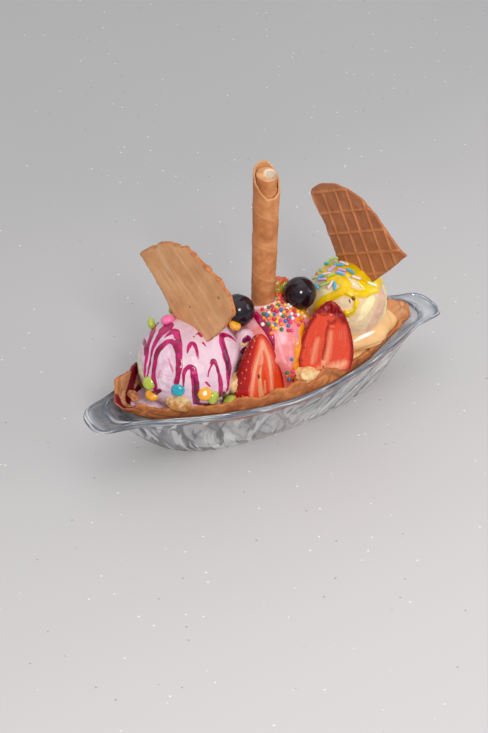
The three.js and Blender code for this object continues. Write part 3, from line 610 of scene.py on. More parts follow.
# Nearness to painted streaks in space: millimetres inside, less than 0 outside
def insideStreaks(points, streaks):
    inside = np.full(len(points), -9.0)
    for path, width in streaks:
        for spot in smoothPath(path, 30):
            inside = np.maximum(inside, width / 2 - np.linalg.norm(points * 1000 - spot, axis=1))
    return inside


def buildShell(material):
    outline = shellOutline(shell["columns"])
    edge = shellEdge(outline)
    edge[:, 2] += shell["crumble"] * (lumpy(edge, 0.003, 3) + 0.6 * lumpy(edge, 0.0011, 4))
    wall = shellRing(outline, 1, 0)
    shares = np.linspace(0, 1, 20)
    outer = [shellRing(outline, share, 0) for share in shares]
    rise = np.linspace(0, 1, 18)[1:]
    flat = edge * (1, 1, 0)
    waves = shell["pleats"] * (lumpy(flat, 0.009, 5) + 0.5 * lumpy(flat, 0.004, 6))
    acrossPitch, alongPitch = shell["endPitch"]
    atEnds = stepped(np.abs(flat[:, 0]), *shell["endFrom"])
    waves += shell["endFolds"] * atEnds * np.abs(np.sin(flat[:, 1] / acrossPitch + flat[:, 0] / alongPitch))
    upper = [movedInwards(wall * (1 - t) + edge * t, np.abs(waves) * t) for t in rise]
    thickness = shell["thickness"]
    lip = [movedInwards(upper[-1], thickness * 0.3) + (0, 0, 0.0004),
           movedInwards(upper[-1], thickness * 0.75) + (0, 0, 0.0003)]
    inner = [movedInwards(ring, thickness) for ring in upper][::-1]
    inner += [shellRing(outline, share, thickness) for share in shares][::-1]
    rings = outer + upper + lip + inner
    # Waffle ribs cross the outside, and every skin is a little uneven
    outside = len(outer) + len(upper)
    shaped, edges, insides = [], [], []
    for index, ring in enumerate(rings):
        slants = (ring[:, 0] + 0.9 * ring[:, 2], ring[:, 0] - 1.1 * ring[:, 2])
        away = np.minimum(*[np.abs(v / shell["ribPitch"] - np.round(v / shell["ribPitch"])) for v in slants])
        rib = np.maximum(0, 1 - away * shell["ribPitch"] / shell["ribWidth"])
        uneven = 0.00022 * lumpy(ring, 0.004, 7) + 0.00012 * lumpy(ring, 0.0016, 8)
        shift = uneven + (shell["ribHeight"] * rib if index < outside else 0)
        shaped.append(movedInwards(ring, np.clip(shift, -0.0005, 0.0005)))
        edges.append(np.full(len(ring), max(0, 1 - abs(index - outside - 0.5) / 2.5)))
        insides.append(np.full(len(ring), float(index > outside + 1)))
    stain = insideStreaks(np.concatenate(shaped), shellStains).reshape(len(shaped), -1)
    stain[:outside] = -9
    loftPiece("wafer_shell_body", shaped, material, nodes=["wafer_shell"], slot="wafer",
              masks={"edge": edges, "stain": stain, "inside": insides})


shellCreaseShade = {"scale": 75.0, "reach": (0.02, 0.09), "share": 0.55}


def shellMaterial():
    material, tree, shader = newMaterial("shellWafer", Specular_IOR_Level=0.35, Subsurface_Weight=0.08,
                                         Subsurface_Radius=(0.004, 0.002, 0.001))
    spot = pointOf(tree)
    edgeShare = product(tree, painted(tree, "edge"),
                        between(tree, noise(tree, spot, 240.0), 0.4, 0.6, 0.1, 0.8))
    out = placeGroup(tree, bakedGroup, {
        "Vector": spot, "Blister Scale": 150.0, "Pore Scale": 1300.0, "Pale": linear(210, 134, 78),
        "Toasted": linear(158, 86, 44), "Edge": edgeShare, "Edge Colour": linear(206, 114, 52)})
    wander = between(tree, noise(tree, spot, 400.0), 0.3, 0.7, -0.8, 0.8)
    stain = between(tree, added(tree, painted(tree, "stain"), wander), -0.3, 0.3)
    pale = product(tree, painted(tree, "inside"),
                   between(tree, noise(tree, spot, 130.0), 0.35, 0.6, 0.35, 0.8))
    baked = mixed(tree, pale, out["Colour"], linear(222, 172, 126))
    # Painted shade: darker creases where the flakes of wafer overlap
    flakes = cellAway(tree, spot, shellCreaseShade["scale"], "DISTANCE_TO_EDGE")
    crease = between(tree, flakes, *shellCreaseShade["reach"], shellCreaseShade["share"], 0.0)
    crease = product(tree, crease, between(tree, noise(tree, spot, 60.0), 0.4, 0.6, 0.2, 1.0))
    baked = mixed(tree, crease, baked, linear(128, 66, 34))
    feed(tree, shader, Base_Color=mixed(tree, stain, baked, linear(112, 8, 28)))
    gloss = between(tree, stain, 0.0, 1.0, 0.6, 0.12)
    tree.links.new(product(tree, gloss, between(tree, out["Roughness"], 0.5, 0.8, 0.85, 1.15)),
                   shader.inputs["Roughness"])
    bumped(tree, shader, arithmetic(tree, "SUBTRACT", out["Height"], crease), 0.0007, 0.7)
    return material


# A broken scrap of wafer lies over the pool at the left end
scrap = {"centre": (-0.0862, 0.0062, 0.0372), "radii": (0.0026, 0.0048, 0.0019), "seed": 24, "pale": 0.6}


def buildScrap(material):
    directions, faces = ballMesh(5)
    seed = scrap["seed"]
    uneven = 1 + 0.3 * lumpy(directions, 0.5, seed) + 0.05 * lumpy(directions, 0.2, seed + 1)
    points = directions * np.array(scrap["radii"]) * uneven[:, None] + np.array(scrap["centre"])
    low = np.zeros(len(points))
    makePiece("wafer_scrap", points, faces, material, slot="wafer",
              masks={"edge": low, "stain": low - 9, "inside": low + scrap["pale"]})


melt = {"level": 0.0335, "ripple": 0.0006, "meniscus": 0.0007, "lilacEnd": -0.028, "amberStart": 0.012,
        "blend": 0.008, "inset": 0.0003, "columns": 260, "swell": 0.0034, "swellFrom": (0.026, 0.036),
        "calmFrom": 0.9, "brimFrom": 0.975}


def buildMelt(material):
    outline = shellOutline(melt["columns"])
    full = dish["rimHeight"] - shell["rimRound"] - dish["floor"] - shell["clearance"]
    topShare = (melt["level"] - dish["floor"] - shell["clearance"]) / full
    depth = shell["thickness"] + melt["inset"]
    rings = [shellRing(outline, share * topShare, depth) for share in (0, 0.33, 0.66, 1)]
    brim = rings[-1]
    for share in np.linspace(0.99, 0.04, 34):
        ring = brim * (share, share, 1)
        waves = lumpy(ring, 0.010, 11) + 0.5 * lumpy(ring, 0.004, 12)
        ripple = melt["ripple"] * waves * (1 - stepped(share, melt["calmFrom"], 1))
        ring[:, 2] = melt["level"] + melt["meniscus"] * share**16 + ripple
        ring[:, 2] += melt["swell"] * stepped(ring[:, 0],
            *melt["swellFrom"]) * (1 - stepped(share, melt["brimFrom"], 1))
        rings.append(ring)
    points = np.concatenate(rings)
    along = points[:, 0] + 0.007 * lumpy(points, 0.012, 13)
    amber = stepped(along, melt["amberStart"] - melt["blend"], melt["amberStart"] + melt["blend"])
    lilac = 1 - stepped(along, melt["lilacEnd"] - melt["blend"], melt["lilacEnd"] + melt["blend"])
    loftPiece("melted_cream_pool", rings, material, nodes=["melted_cream"], slot="melted_cream",
              masks={"amber": amber, "lilac": lilac})


def meltMaterial():
    material, tree, shader = newMaterial("meltedCream", Coat_Weight=0.3, Subsurface_Weight=0.25,
                                         Subsurface_Radius=(0.008, 0.005, 0.004))
    spot = pointOf(tree)
    swirl = noise(tree, spot, 60.0, detail=2.0, distortion=1.5)
    lilac = painted(tree, "lilac")
    pale = mixed(tree, between(tree, swirl, 0.35, 0.5), linear(224, 184, 204), linear(244, 222, 230))
    base = mixed(tree, lilac, linear(236, 130, 104), pale)
    stain = product(tree, between(tree, swirl, 0.6, 0.66), product(tree, lilac, 0.6))
    base = mixed(tree, stain, base, linear(150, 40, 105))
    base = mixed(tree, painted(tree, "amber"), base, linear(238, 190, 126))
    feed(tree, shader, Base_Color=base, Roughness=between(tree, swirl, 0.3, 0.7, 0.12, 0.24))
    bumped(tree, shader, noise(tree, spot, 300.0), 0.0004, 0.4)
    return material


# Scoops. Each coat is painted over the ones before it. Strokes are (azimuth, elevation, width in mm), "soft"
# is the blend at its edge in mm, "rise" how far it stands out in mm and "round" its domed rise in mm

scoops = {
    "berry": {
        "centre": (-0.052, 0, 0.053), "radii": (0.0305, 0.0295, 0.027), "dents": [(315, -5, 32, 4)],
        "seed": 21, "node": "scoop_berry", "slot": "berry_ice_cream", "main": (226, 195, 207),
        "streak": (198, 160, 178), "icyCoat": "icy",
        "coats": {
            "yellowish": {"soft": 2.0, "tones": ((238, 226, 176), (226, 218, 196)), "gloss": 0.3, "strokes": [
                [(138, 18, 4.5), (148, 13, 7.5), (164, 10, 7.5), (173, 4, 7.5), (179, -1, 4.5)]]},
            "icy": {"soft": 1.2, "tones": ((226, 182, 204), (236, 208, 220)), "gloss": 0.0, "strokes": [
                [(202, 49, 4.4), (205, 40, 7.4), (210, 31, 8.1), (213, 19, 8.9), (215, 8, 7.4)]]},
            "smear": {"soft": 0.7, "tones": ((224, 128, 162), (214, 100, 140)), "gloss": 0.2, "strokes": [
                [(211, 40, 0.9), (216, 34, 1.1), (221, 27, 0.9)], [(204, 24, 0.8), (204, 14, 0.9)],
                [(186, 22, 0.8), (188, 13, 1)], [(255, 48, 1.0), (255, 42, 1.0)]]},
            "sauce": {"soft": 0.3, "rise": 0.35, "tones": ((198, 0, 108), (136, 0, 58)), "gloss": 1.0,
                      "strokes": [
                [(113, 39, 3), (126, 41, 4.2), (149, 45, 5), (164, 39, 4.2), (174, 31, 3.4), (180, 21, 2.6),
                 (183, 5, 2)],
                [(128, 65, 4.1), (149, 64, 8.5), (163, 58, 5.1), (171, 51, 3.8), (177, 42, 2.6),
                 (183, 33, 1.8), (187, 21, 1.6), (188, 8, 1.4)],
                [(220, 49, 1.6), (213, 57, 3), (204, 60, 3.4), (195, 58, 3), (191, 52, 3.4), (189, 44, 3.6),
                 (190, 38, 3.6), (193, 31, 3.2), (195, 23, 3), (197, 14, 3.2), (199, 7, 4.1), (201, -6, 4.1)],
                [(178, 59, 1.4), (178, 65, 3.4), (179, 70, 4.1), (194, 71, 4.1), (213, 64, 3.8),
                 (222, 54, 4.1), (226, 44, 3.8), (228, 34, 3.6), (228, 24, 3.2), (227, 14, 2.8)],
                [(238, 50, 0.9), (240, 56, 2.2), (246, 61, 3), (253, 59, 2.6), (255, 51, 1.8),
                 (254, 43, 0.9)],
                [(235, 10, 0.9), (235, 18, 1.4), (235, 26, 2.2), (238, 32, 2.6), (242, 34, 3), (246, 31, 3.6),
                 (247, 23, 4.1), (248, 12, 4.2), (248, -1, 4.1), (249, -18, 3.6)],
                [(263, 19, 0.8), (265, 25, 1.2), (269, 31, 2), (275, 35, 3), (277, 30, 2.4), (277, 21, 2),
                 (277, 10, 2.8), (277, -1, 3), (276, -13, 3)],
                [(332, 30, 1.4), (332, 37, 2.6), (329, 46, 3.4), (318, 51, 3.4), (309, 49, 3.6),
                 (302, 43, 4.2), (297, 35, 4.6), (294, 26, 4.6), (292, 17, 4.6), (290, 8, 4.1), (288, -4, 3),
                 (287, -12, 2)],
                [(137, 20, 1.8), (134, 22, 3), (152, 32, 3.2), (164, 32, 2.4), (171, 27, 1.4)],
                [(277, 71, 2.2), (277, 67, 1.4)], [(271, 59, 1.4), (273, 55, 1.2)],
                [(260, 13, 1.4), (264, 6, 1.2)], [(100, 30, 3.4), (96, 12, 2.7), (97, -4, 2)],
                [(78, 44, 4.1), (70, 28, 3.5), (68, 10, 2.7)], [(45, 40, 4.1), (38, 22, 3.5), (37, 4, 2.4)],
                [(60, 62, 4.1), (20, 58, 4.1), (350, 48, 3.5)]]},
            # The deep coat is sauce pooled thick, with painted shade darkening it where it lies in shade
            "deep": {"soft": 0.5, "rise": 0.15, "tones": ((112, 0, 62), (72, 0, 40)), "gloss": 1.0,
                     "strokes": [
                [(249, -18, 2.9), (256, -24, 2.9), (265, -28, 2.5)],
                [(275, -16, 3.2), (281, -14, 3.5), (293, -35, 2.5)],
                [(186, -14, 1.7), (195, -15, 3.2), (207, -3, 2.3)],
                [(114, 38, 1.6), (106, 43, 2.5), (97, 46, 2.5), (90, 48, 1.3)],
                [(306, 47, 0.9), (299, 40, 1.7), (294, 30, 2), (291, 19, 2.1), (290, 10, 1.7)],
                [(247, 21, 0.9), (248, 6, 1.7), (249, -12, 2.1)]]},
            "marbled": {"soft": 0.25, "tones": ((234, 208, 226), (214, 178, 206)), "gloss": 0.7, "strokes": [
                [(109, 41, 0.8), (134, 50, 0.8), (158, 49, 0.8), (169, 41, 0.8), (178, 33, 0.8),
                 (183, 25, 0.7)],
                [(171, 67, 0.7), (176, 60, 1.1), (180, 51, 1.1), (182, 43, 0.8), (186, 34, 0.8),
                 (190, 26, 0.7)],
                [(206, 63, 0.7), (194, 63, 0.8), (185, 59, 0.8), (185, 52, 0.7)]]},
            "crumbs": {"soft": 0.2, "rise": 0.2, "tones": ((112, 76, 50), (140, 96, 60)), "gloss": 0.2,
                       "strokes": [
                [(255, 70, 0.7), (256, 69, 0.5)], [(266, 72, 0.6), (270, 72, 0.5)]]},
        },
    },
    "pink": {
        "centre": (0.003, 0, 0.046), "radii": (0.0265, 0.0265, 0.0265),
        "dents": [(240, -8, 24, 3.2), (288, 5, 22, 3)], "seed": 22, "node": "scoop_pink",
        "slot": "pink_ice_cream", "main": (238, 144, 144), "streak": (224, 118, 124), "icyCoat": None,
        "coats": {
            "pale": {"soft": 2.2, "tones": ((250, 182, 186), (248, 170, 176)), "gloss": 0.3, "strokes": [
                [(194, 52, 6), (177, 54, 4)], [(260, 51, 5), (258, 39, 5)]]},
            "ridge": {"soft": 1.2, "rise": 0.35, "tones": ((252, 172, 178), (246, 150, 160)), "gloss": 0.3,
                      "strokes": [
                [(248, 43, 1.5), (250, 32, 1.9), (253, 18, 2.2), (257, 7, 1.9)],
                [(267, 34, 1.2), (265, 19, 1.3), (262, 4, 1.5)]]},
            "rosy": {"soft": 0.8, "tones": ((222, 142, 170), (212, 126, 160)), "gloss": 0.4, "strokes": [
                [(317, 52, 1.6), (293, 46, 2), (282, 36, 2.2), (275, 25, 1.6)]]},
            "mauve": {"soft": 0.35, "rise": 0.3, "tones": ((178, 4, 78), (142, 0, 52)), "gloss": 1.0,
                      "strokes": [
                [(173, 65, 3.3), (196, 64, 4.2), (219, 58, 4.5), (231, 51, 4.1), (238, 42, 3.4),
                 (241, 34, 1.8), (242, 27, 0.7)], [(150, 50, 3.3), (140, 30, 2.9), (138, 10, 2.2)]]},
            "orange": {"soft": 0.35, "round": 0.8, "tones": ((242, 160, 24), (228, 130, 12)), "gloss": 0.9,
                       "strokes": [
                [(330, 67, 4), (338, 56, 7.9), (348, 40, 10.6), (351, 28, 9.4), (354, 8, 7.2)],
                [(311, 50, 6.7), (303, 44, 4.9), (291, 36, 4), (282, 28, 3.4), (276, 16, 4), (272, 5, 4.5),
                 (272, -7, 6.7)],
                [(276, 38, 1.1), (272, 26, 1.1), (271, 14, 1.3)],
                [(275, -16, 12.1), (297, -34, 14.6), (301, -29, 12.1), (305, -26, 7.9)],
                [(30, 50, 9), (24, 30, 7.9), (22, 8, 6.5)], [(80, 30, 6.1), (74, 10, 5.4)]]},
            "apricot": {"soft": 0.8, "tones": ((242, 206, 130), (238, 190, 60)), "gloss": 0.8, "strokes": [
                [(297, -34, 3.9), (301, -27, 3.9), (306, -24, 2.6)]]},
            "low": {"soft": 1.0, "tones": ((238, 112, 70), (226, 90, 60)), "gloss": 0.8, "strokes": [
                [(259, -39, 3.7), (269, -40, 3)]]},
        },
    },
    "cream": {
        "centre": (0.0545, 0, 0.0575), "radii": (0.0238, 0.0238, 0.0238), "dents": [], "seed": 23,
        "node": "scoop_cream", "slot": "cream_ice_cream", "main": (230, 205, 164), "streak": (212, 180, 140),
        "icyCoat": None,
        "coats": {
            "pale": {"soft": 1.0, "tones": ((244, 232, 182), (240, 222, 166)), "gloss": 0.4, "strokes": [
                [(281, 30, 5.2), (269, 22, 5.9), (261, 13, 3.7), (255, 6, 2.2)],
                [(208, 48, 4.4), (196, 42, 3.7), (186, 37, 3.7)], [(238, 8, 3), (228, 20, 3)]]},
            "beige": {"soft": 0.6, "tones": ((228, 186, 156), (216, 172, 144)), "gloss": 0.3, "strokes": [
                [(313, 38, 6), (309, 27, 8.4), (302, 17, 8.8), (294, 8, 8.8), (286, -3, 8.4), (279, -12, 7.6),
                 (270, -21, 5)]]},
            "straw": {"soft": 0.5, "rise": 0.3, "tones": ((238, 230, 156), (226, 212, 130)), "gloss": 0.5,
                      "strokes": [
                [(334, 30, 3.4), (330, 20, 4.2), (326, 11, 4.4), (319, 3, 4.4), (312, -6, 4),
                 (305, -16, 3)]]},
            "yellow": {"soft": 0.3, "round": 1.25, "tones": ((244, 206, 0), (226, 184, 0)), "gloss": 0.8,
                       "strokes": [
                [(188, 5, 3.7), (189, 16, 5.6), (195, 26, 5.6), (206, 36, 5.1), (218, 44, 5.1),
                 (228, 51, 5.6), (234, 59, 6.3), (221, 64, 6.3), (204, 63, 5.1)],
                [(228, 50, 5.1), (243, 49, 5.1), (258, 45, 4.6), (271, 42, 4.6), (286, 42, 5.1),
                 (301, 37, 3.7)],
                [(263, 65, 6.3), (276, 57, 5.1), (281, 47, 5.1)],
                [(309, 67, 6.1), (300, 56, 8.5), (310, 46, 8), (330, 40, 7.6), (342, 30, 4)],
                [(239, 47, 3.7), (249, 42, 3.7), (253, 35, 3.1), (251, 27, 3.1), (247, 21, 3.6),
                 (240, 17, 4.2), (236, 20, 3.1)],
                [(122, 32, 2.5), (117, 36, 5.1), (155, 56, 6.3), (186, 61, 6.3), (199, 72, 6.3),
                 (235, 80, 5.1)],
                [(103, 45, 6.8), (91, 55, 8.5), (96, 72, 11.9), (300, 87, 13.6), (299, 74, 6.8),
                 (303, 66, 6.3)],
                [(80, 50, 6.8), (70, 34, 6.8), (66, 14, 5.1)], [(40, 60, 10.2), (34, 40, 7.5), (32, 20, 5.1)],
                [(0, 66, 11.9), (2, 46, 8.5), (0, 28, 5.8)]]},
            "olive": {"soft": 0.6, "tones": ((176, 168, 24), (196, 178, 10)), "gloss": 0.9, "strokes": [
                [(188, 3, 2), (188, 12, 1.6)], [(125, 29, 1.5), (121, 33, 1.8), (117, 36, 1.8)],
                [(251, 27, 0.9), (247, 21, 1.2), (240, 17, 1.4)]]},
            "window": {"soft": 0.4, "rise": -0.7, "tones": ((240, 226, 190), (232, 214, 170)), "gloss": 0.6,
                       "strokes": [
                [(241, 68, 1), (254, 62, 2.5), (263, 56, 1.8), (266, 53, 0.7)]]},
            "red": {"soft": 0.5, "tones": ((206, 70, 36), (226, 120, 40)), "gloss": 0.8, "strokes": [
                [(127, 27, 3), (123, 31, 3), (120, 34, 1.8)]]},
            "plum": {"soft": 0.3, "tones": ((70, 20, 50), (90, 40, 60)), "gloss": 0.8, "strokes": [
                [(129, 25, 1), (125, 29, 0.9)], [(241, 37, 0.7), (243, 33, 0.7)]]},
            "amber": {"soft": 0.6, "rise": 0.3, "tones": ((96, 56, 14), (140, 90, 20)), "gloss": 1.0,
                      "strokes": [
                [(248, 40, 1.7), (249, 38, 1.4)]]},
        },
    },
}


# How far inside the strokes each direction lies in millimetres, and a dome over each stroke
def strokeShape(directions, strokes, radius):
    inside = np.full(len(directions), -9.0)
    dome = np.zeros(len(directions))
    for stroke in strokes:
        spots = np.array([[*towards(azimuth, elevation), width] for azimuth, elevation, width in stroke])
        fine = smoothPath(spots, 14 * len(spots))
        away = np.sqrt(np.maximum(0, 2 - 2 * directions @ unit(fine[:, :3]).T)) * radius * 1000
        half = np.maximum(0.2, fine[:, 3] / 2)
        inside = np.maximum(inside, (half - away).max(axis=1))
        dome = np.maximum(dome, (1 - away / half).max(axis=1) * min(1, half.max() / 1.5))
    return inside, np.sqrt(np.clip(dome, 0, 1) * (2 - np.clip(dome, 0, 1)))


def scoopOffset(scoop, directions):
    seed = scoop["seed"]
    points = directions * np.array(scoop["radii"])
    offset = 0.0006 * lumpy(points, 0.013, seed) + 0.0003 * lumpy(points * (1, 1, 1.8), 0.005, seed + 1)
    for azimuth, elevation, reach, depth in scoop["dents"]:
        away = np.degrees(np.arccos(np.clip(directions @ towards(azimuth, elevation), -1, 1)))
        offset -= depth / 1000 * (1 - stepped(away, 0, reach))
    return offset + 0.0001 * lumpy(points, 0.0018, seed + 2)


def onScoop(scoop, directions, outwards):
    outwards = np.reshape(outwards, (-1, 1))
    return directions * (np.array(scoop["radii"]) + outwards) + np.array(scoop["centre"])


def buildScoop(name, material, collar=None):
    scoop = scoops[name]
    directions, faces = ballMesh(7)
    offset = scoopOffset(scoop, directions)
    points = directions * np.array(scoop["radii"])
    masks = {}
    for index, (label, coat) in enumerate(scoop["coats"].items()):
        inside, dome = strokeShape(directions, coat["strokes"], np.mean(scoop["radii"]))
        inside += 0.25 * lumpy(points, 0.003, 60 + index) + 0.12 * lumpy(points, 0.0012, 80 + index)
        offset += coat.get("rise", 0) / 1000 * stepped(inside, -0.2, 0.7)
        offset += coat.get("round", 0) / 1000 * dome
        masks[label] = np.clip(inside, -4, 4)
    icy = stepped(masks[scoop["icyCoat"]], -0.6, 1) if scoop["icyCoat"] else np.zeros(len(directions))
    pitted = 0.0005 * lumpy(points * (1, 1, 0.5), 0.0022, 41) + 0.0003 * lumpy(points, 0.001, 42)
    offset += icy * (pitted - 0.0003)
    masks["icy"] = icy if scoop["icyCoat"] is None else masks["icy"]
    moved = onScoop(scoop, directions, offset)
    if collar:
        away = np.hypot(moved[:, 0] - collar["centre"][0], moved[:, 1] - collar["centre"][1])
        masks["collar"] = (collar["radius"] - away) * 1000
        ridge = np.exp(-(((away - collar["ring"]) / collar["width"]) ** 2))
        moved[:, 2] += collar["rise"] * ridge * (directions[:, 2] > 0)
    return makePiece("scoop_" + name + "_body", moved, faces, material, nodes=[scoop["node"]],
                     slot=scoop["slot"], masks=masks)


def iceCreamMaterial(name, scoop, coats=None):
    material, tree, shader = newMaterial(name, Subsurface_Weight=0.1, Specular_IOR_Level=0.35,
                                         Coat_Roughness=0.05, Subsurface_Radius=(0.005, 0.0035, 0.003))
    spot = pointOf(tree)
    icy = between(tree, painted(tree, "icy"), 0.0, 1.5) if scoop["icyCoat"] else painted(tree, "icy")
    out = placeGroup(tree, churnedGroup, {"Vector": spot, "Scale": 240.0, "Main": linear(*scoop["main"]),
                                          "Streak": linear(*scoop["streak"]), "Streak Share": 0.7,
                                          "Icy": icy})
    colour, gloss = out["Colour"], None
    cloud = between(tree, noise(tree, spot, 150.0, detail=2.0), 0.38, 0.62)
    for label, coat in (scoop["coats"] if coats is None else coats).items():
        half = coat["soft"] / 2
        amount = between(tree, painted(tree, label), -half, half)
        tone = mixed(tree, cloud, *[linear(*tone) for tone in coat["tones"]])
        colour = mixed(tree, amount, colour, tone)
        shine = product(tree, amount, coat["gloss"])
        gloss = shine if gloss is None else arithmetic(tree, "MAXIMUM", gloss, shine)
    feed(tree, shader, Base_Color=colour)
    if gloss is None:
        feed(tree, shader, Roughness=out["Roughness"])
    else:
        dull = product(tree, out["Roughness"], between(tree, gloss, 0.0, 1.0, 1.0, 0.3))
        feed(tree, shader, Roughness=dull)
        feed(tree, shader, Coat_Weight=product(tree, gloss, 0.4))
    bumped(tree, shader, out["Height"], 0.00045, 0.5)
    return material


# The cream scoop stands in a melted foot, with a crease between them
creamFoot = {"centre": (0.055, -0.001, 0.0425), "radii": (0.0265, 0.026, 0.0085), "folds": 9,
             "foldDepth": 0.0006, "skirt": 0.45, "narrowest": 0.05,
             # The gleam strokes are a painted highlight along the foot's upper ridge, beside the crease
             "gleam": [[(249, 24, 1.8), (259, 30, 2.7), (270, 33, 2.7), (283, 33, 1)]],
             "ridges": [[(265, 2, 1.5), (281, 1, 1.5), (300, -10, 1.5)],
                        [(257, -22, 1.8), (272, -19, 1.8), (288, -15, 1.8)]]}
footScoop = {"main": (232, 188, 132), "streak": (218, 164, 104), "icyCoat": None, "coats": {
    # Painted highlight
    "gleam": {"soft": 0.5, "tones": ((255, 252, 248), (250, 240, 230)), "gloss": 1.0},
    "ridges": {"soft": 1.0, "tones": ((238, 196, 140), (226, 178, 116)), "gloss": 0.6}}}


def buildCreamFoot(material):
    directions, faces = ballMesh(6)
    radii = np.array(creamFoot["radii"])
    points = directions * radii
    offset = 0.0008 * lumpy(points, 0.009, 51) + 0.0003 * lumpy(points, 0.004, 52)
    turn = np.arctan2(directions[:, 1], directions[:, 0])
    folds = np.cos(turn * creamFoot["folds"])
    offset += creamFoot["foldDepth"] * folds * (1 - stepped(directions[:, 2], -0.4, 0.3))
    masks = {"icy": np.zeros(len(points))}
    for label in ("gleam", "ridges"):
        masks[label] = strokeShape(directions, creamFoot[label], 0.02)[0]
        offset += 0.0004 * stepped(masks[label], -0.5, 0.8)
    # The lower half keeps its width, like a skirt, down to the pool
    flat = np.maximum(creamFoot["narrowest"], np.hypot(directions[:, 0], directions[:, 1]))
    skirt = np.where(directions[:, 2] < 0, flat ** (creamFoot["skirt"] - 1), 1)
    directions = directions * np.column_stack([skirt, skirt, np.ones(len(skirt))])
    moved = directions * (radii + offset[:, None]) + np.array(creamFoot["centre"])
    makePiece("scoop_cream_foot", moved, faces, material, slot="cream_ice_cream", masks=masks)


# A lump of marbled cream where the berry scoop meets the pink one
swirl = {"centre": (-0.0205, -0.0085, 0.0565), "radii": (0.0066, 0.0068, 0.0128), "seed": 44}
swirlCoats = {
    "sauce": {"soft": 0.3, "tones": ((150, 0, 84), (96, 0, 48)), "gloss": 1.0, "strokes": [
        [(236, 44, 3), (262, 52, 3.6), (285, 46, 3)],
        [(222, 6, 2), (240, 14, 4), (258, 6, 4), (262, -6, 2.6)], [(290, 10, 1), (292, -14, 2)]]},
    "yellow": {"soft": 0.4, "tones": ((238, 208, 70), (240, 224, 150)), "gloss": 0.8, "strokes": [
        [(222, 30, 1.3), (244, 30, 1.3), (268, 24, 1.2)]]},
}


def buildSwirl(material):
    directions, faces = ballMesh(6)
    points = directions * np.array(swirl["radii"])
    offset = 0.0009 * lumpy(points, 0.006, swirl["seed"]) + 0.0003 * lumpy(points, 0.002, swirl["seed"] + 1)
    masks = {"icy": np.zeros(len(points))}
    for label, coat in swirlCoats.items():
        inside = strokeShape(directions, coat["strokes"], 0.009)[0]
        masks[label] = inside + 0.4 * lumpy(points, 0.003, 46)
        offset += 0.0003 * stepped(masks[label], -0.2, 0.5)
    moved = points + directions * offset[:, None] + np.array(swirl["centre"])
    makePiece("marbled_lump", moved, faces, material, slot="berry_ice_cream", masks=masks)


# Sprinkles: sugar beads on the pink scoop and sugar rods on the cream one, as azimuth and elevation

beadTints = {"red": (206, 22, 44), "hotPink": (236, 24, 124), "green": (10, 118, 66), "blue": (16, 112, 178),
             "white": (242, 236, 234), "orange": (246, 132, 36), "yellow": (244, 196, 40)}
beads = {
    "radius": 0.00124, "raised": 0.42, "seed": 7, "extra": 26, "middle": (300, 74), "spread": 30,
    "clear": 0.0019,
    "green": [(332, 83), (203, 72), (278, 68), (258, 52), (229, 60), (259, -7)],
    "blue": [(18, 66), (101, 46), (218, 71), (248, 74), (293, 63), (275, 61), (245, 59), (346, 52), (265, 12),
             (263, -20)],
    "white": [(222, 76), (273, 72), (297, 59), (337, 67), (216, 58), (346, 69), (316, 56)],
    "red": [(245, 81), (244, 67), (339, 62), (309, 71), (323, 62), (2, 74), (307, 49), (27, 66), (285, 61),
            (265, 78)],
    "hotPink": [(261, 64), (285, 57), (297, 48), (277, 47), (266, -6), (266, -13), (27, 77), (53, 54),
                (309, 59)],
    "orange": [(228, 67), (261, 59), (299, 54), (237, 48), (259, -12), (269, -11), (241, 54), (356, 61),
               (293, 66)],
    "yellow": [(234, 73), (240, 58), (247, 54), (258, 67), (329, 57)],
}
rodTints = {"cyan": (40, 178, 220), "green": (176, 206, 104), "lilac": (204, 168, 220),
            "rose": (242, 216, 216), "white": (226, 242, 226)}
# tint, then azimuth and elevation of one end and of the other
rods = [
    ("cyan", 108, 46, 114, 58), ("cyan", 132, 70, 146, 85), ("cyan", 226, 81, 266, 72),
    ("cyan", 187, 70, 222, 72), ("cyan", 160, 44, 164, 56), ("cyan", 204, 58, 213, 47),
    ("cyan", 169, 40, 178, 39), ("green", 106, 44, 88, 54), ("green", 98, 49, 84, 63),
    ("green", 122, 42, 152, 57), ("green", 180, 42, 194, 55), ("green", 178, 57, 188, 68),
    ("lilac", 159, 62, 137, 74), ("lilac", 176, 70, 236, 72), ("lilac", 163, 44, 184, 56),
    ("lilac", 171, 75, 226, 79), ("rose", 107, 74, 320, 88), ("rose", 250, 69, 276, 61),
    ("rose", 197, 45, 199, 59), ("white", 284, 56, 303, 40), ("green", 152, 38, 158, 47),
    ("rose", 158, 53, 172, 65), ("lilac", 60, 70, 30, 62), ("green", 76, 44, 62, 54),
    ("cyan", 20, 74, 10, 60),
]
rod = {"radius": 0.00084, "columns": 12, "rows": 11, "longest": 0.0068, "shortest": 0.005, "lift": 0.0019,
       "liftStep": 0.0004, "capFrom": 0.75}


def sugarMaterial():
    material, tree, shader = newMaterial("sprinkleSugar", Roughness=0.3, Coat_Weight=0.25,
                                         Subsurface_Weight=0.03, Subsurface_Radius=(0.0008, 0.0008, 0.0008))
    spot = pointOf(tree)
    tint = addNode(tree, "ShaderNodeVertexColor", layer_name="tint").outputs["Color"]
    cloudy = between(tree, noise(tree, spot, 1800.0), 0.3, 0.7, 0.0, 0.06)
    feed(tree, shader, Base_Color=mixed(tree, cloudy, tint, linear(250, 245, 240)))
    bumped(tree, shader, noise(tree, spot, 2500.0), 0.0001, 0.4)
    return material


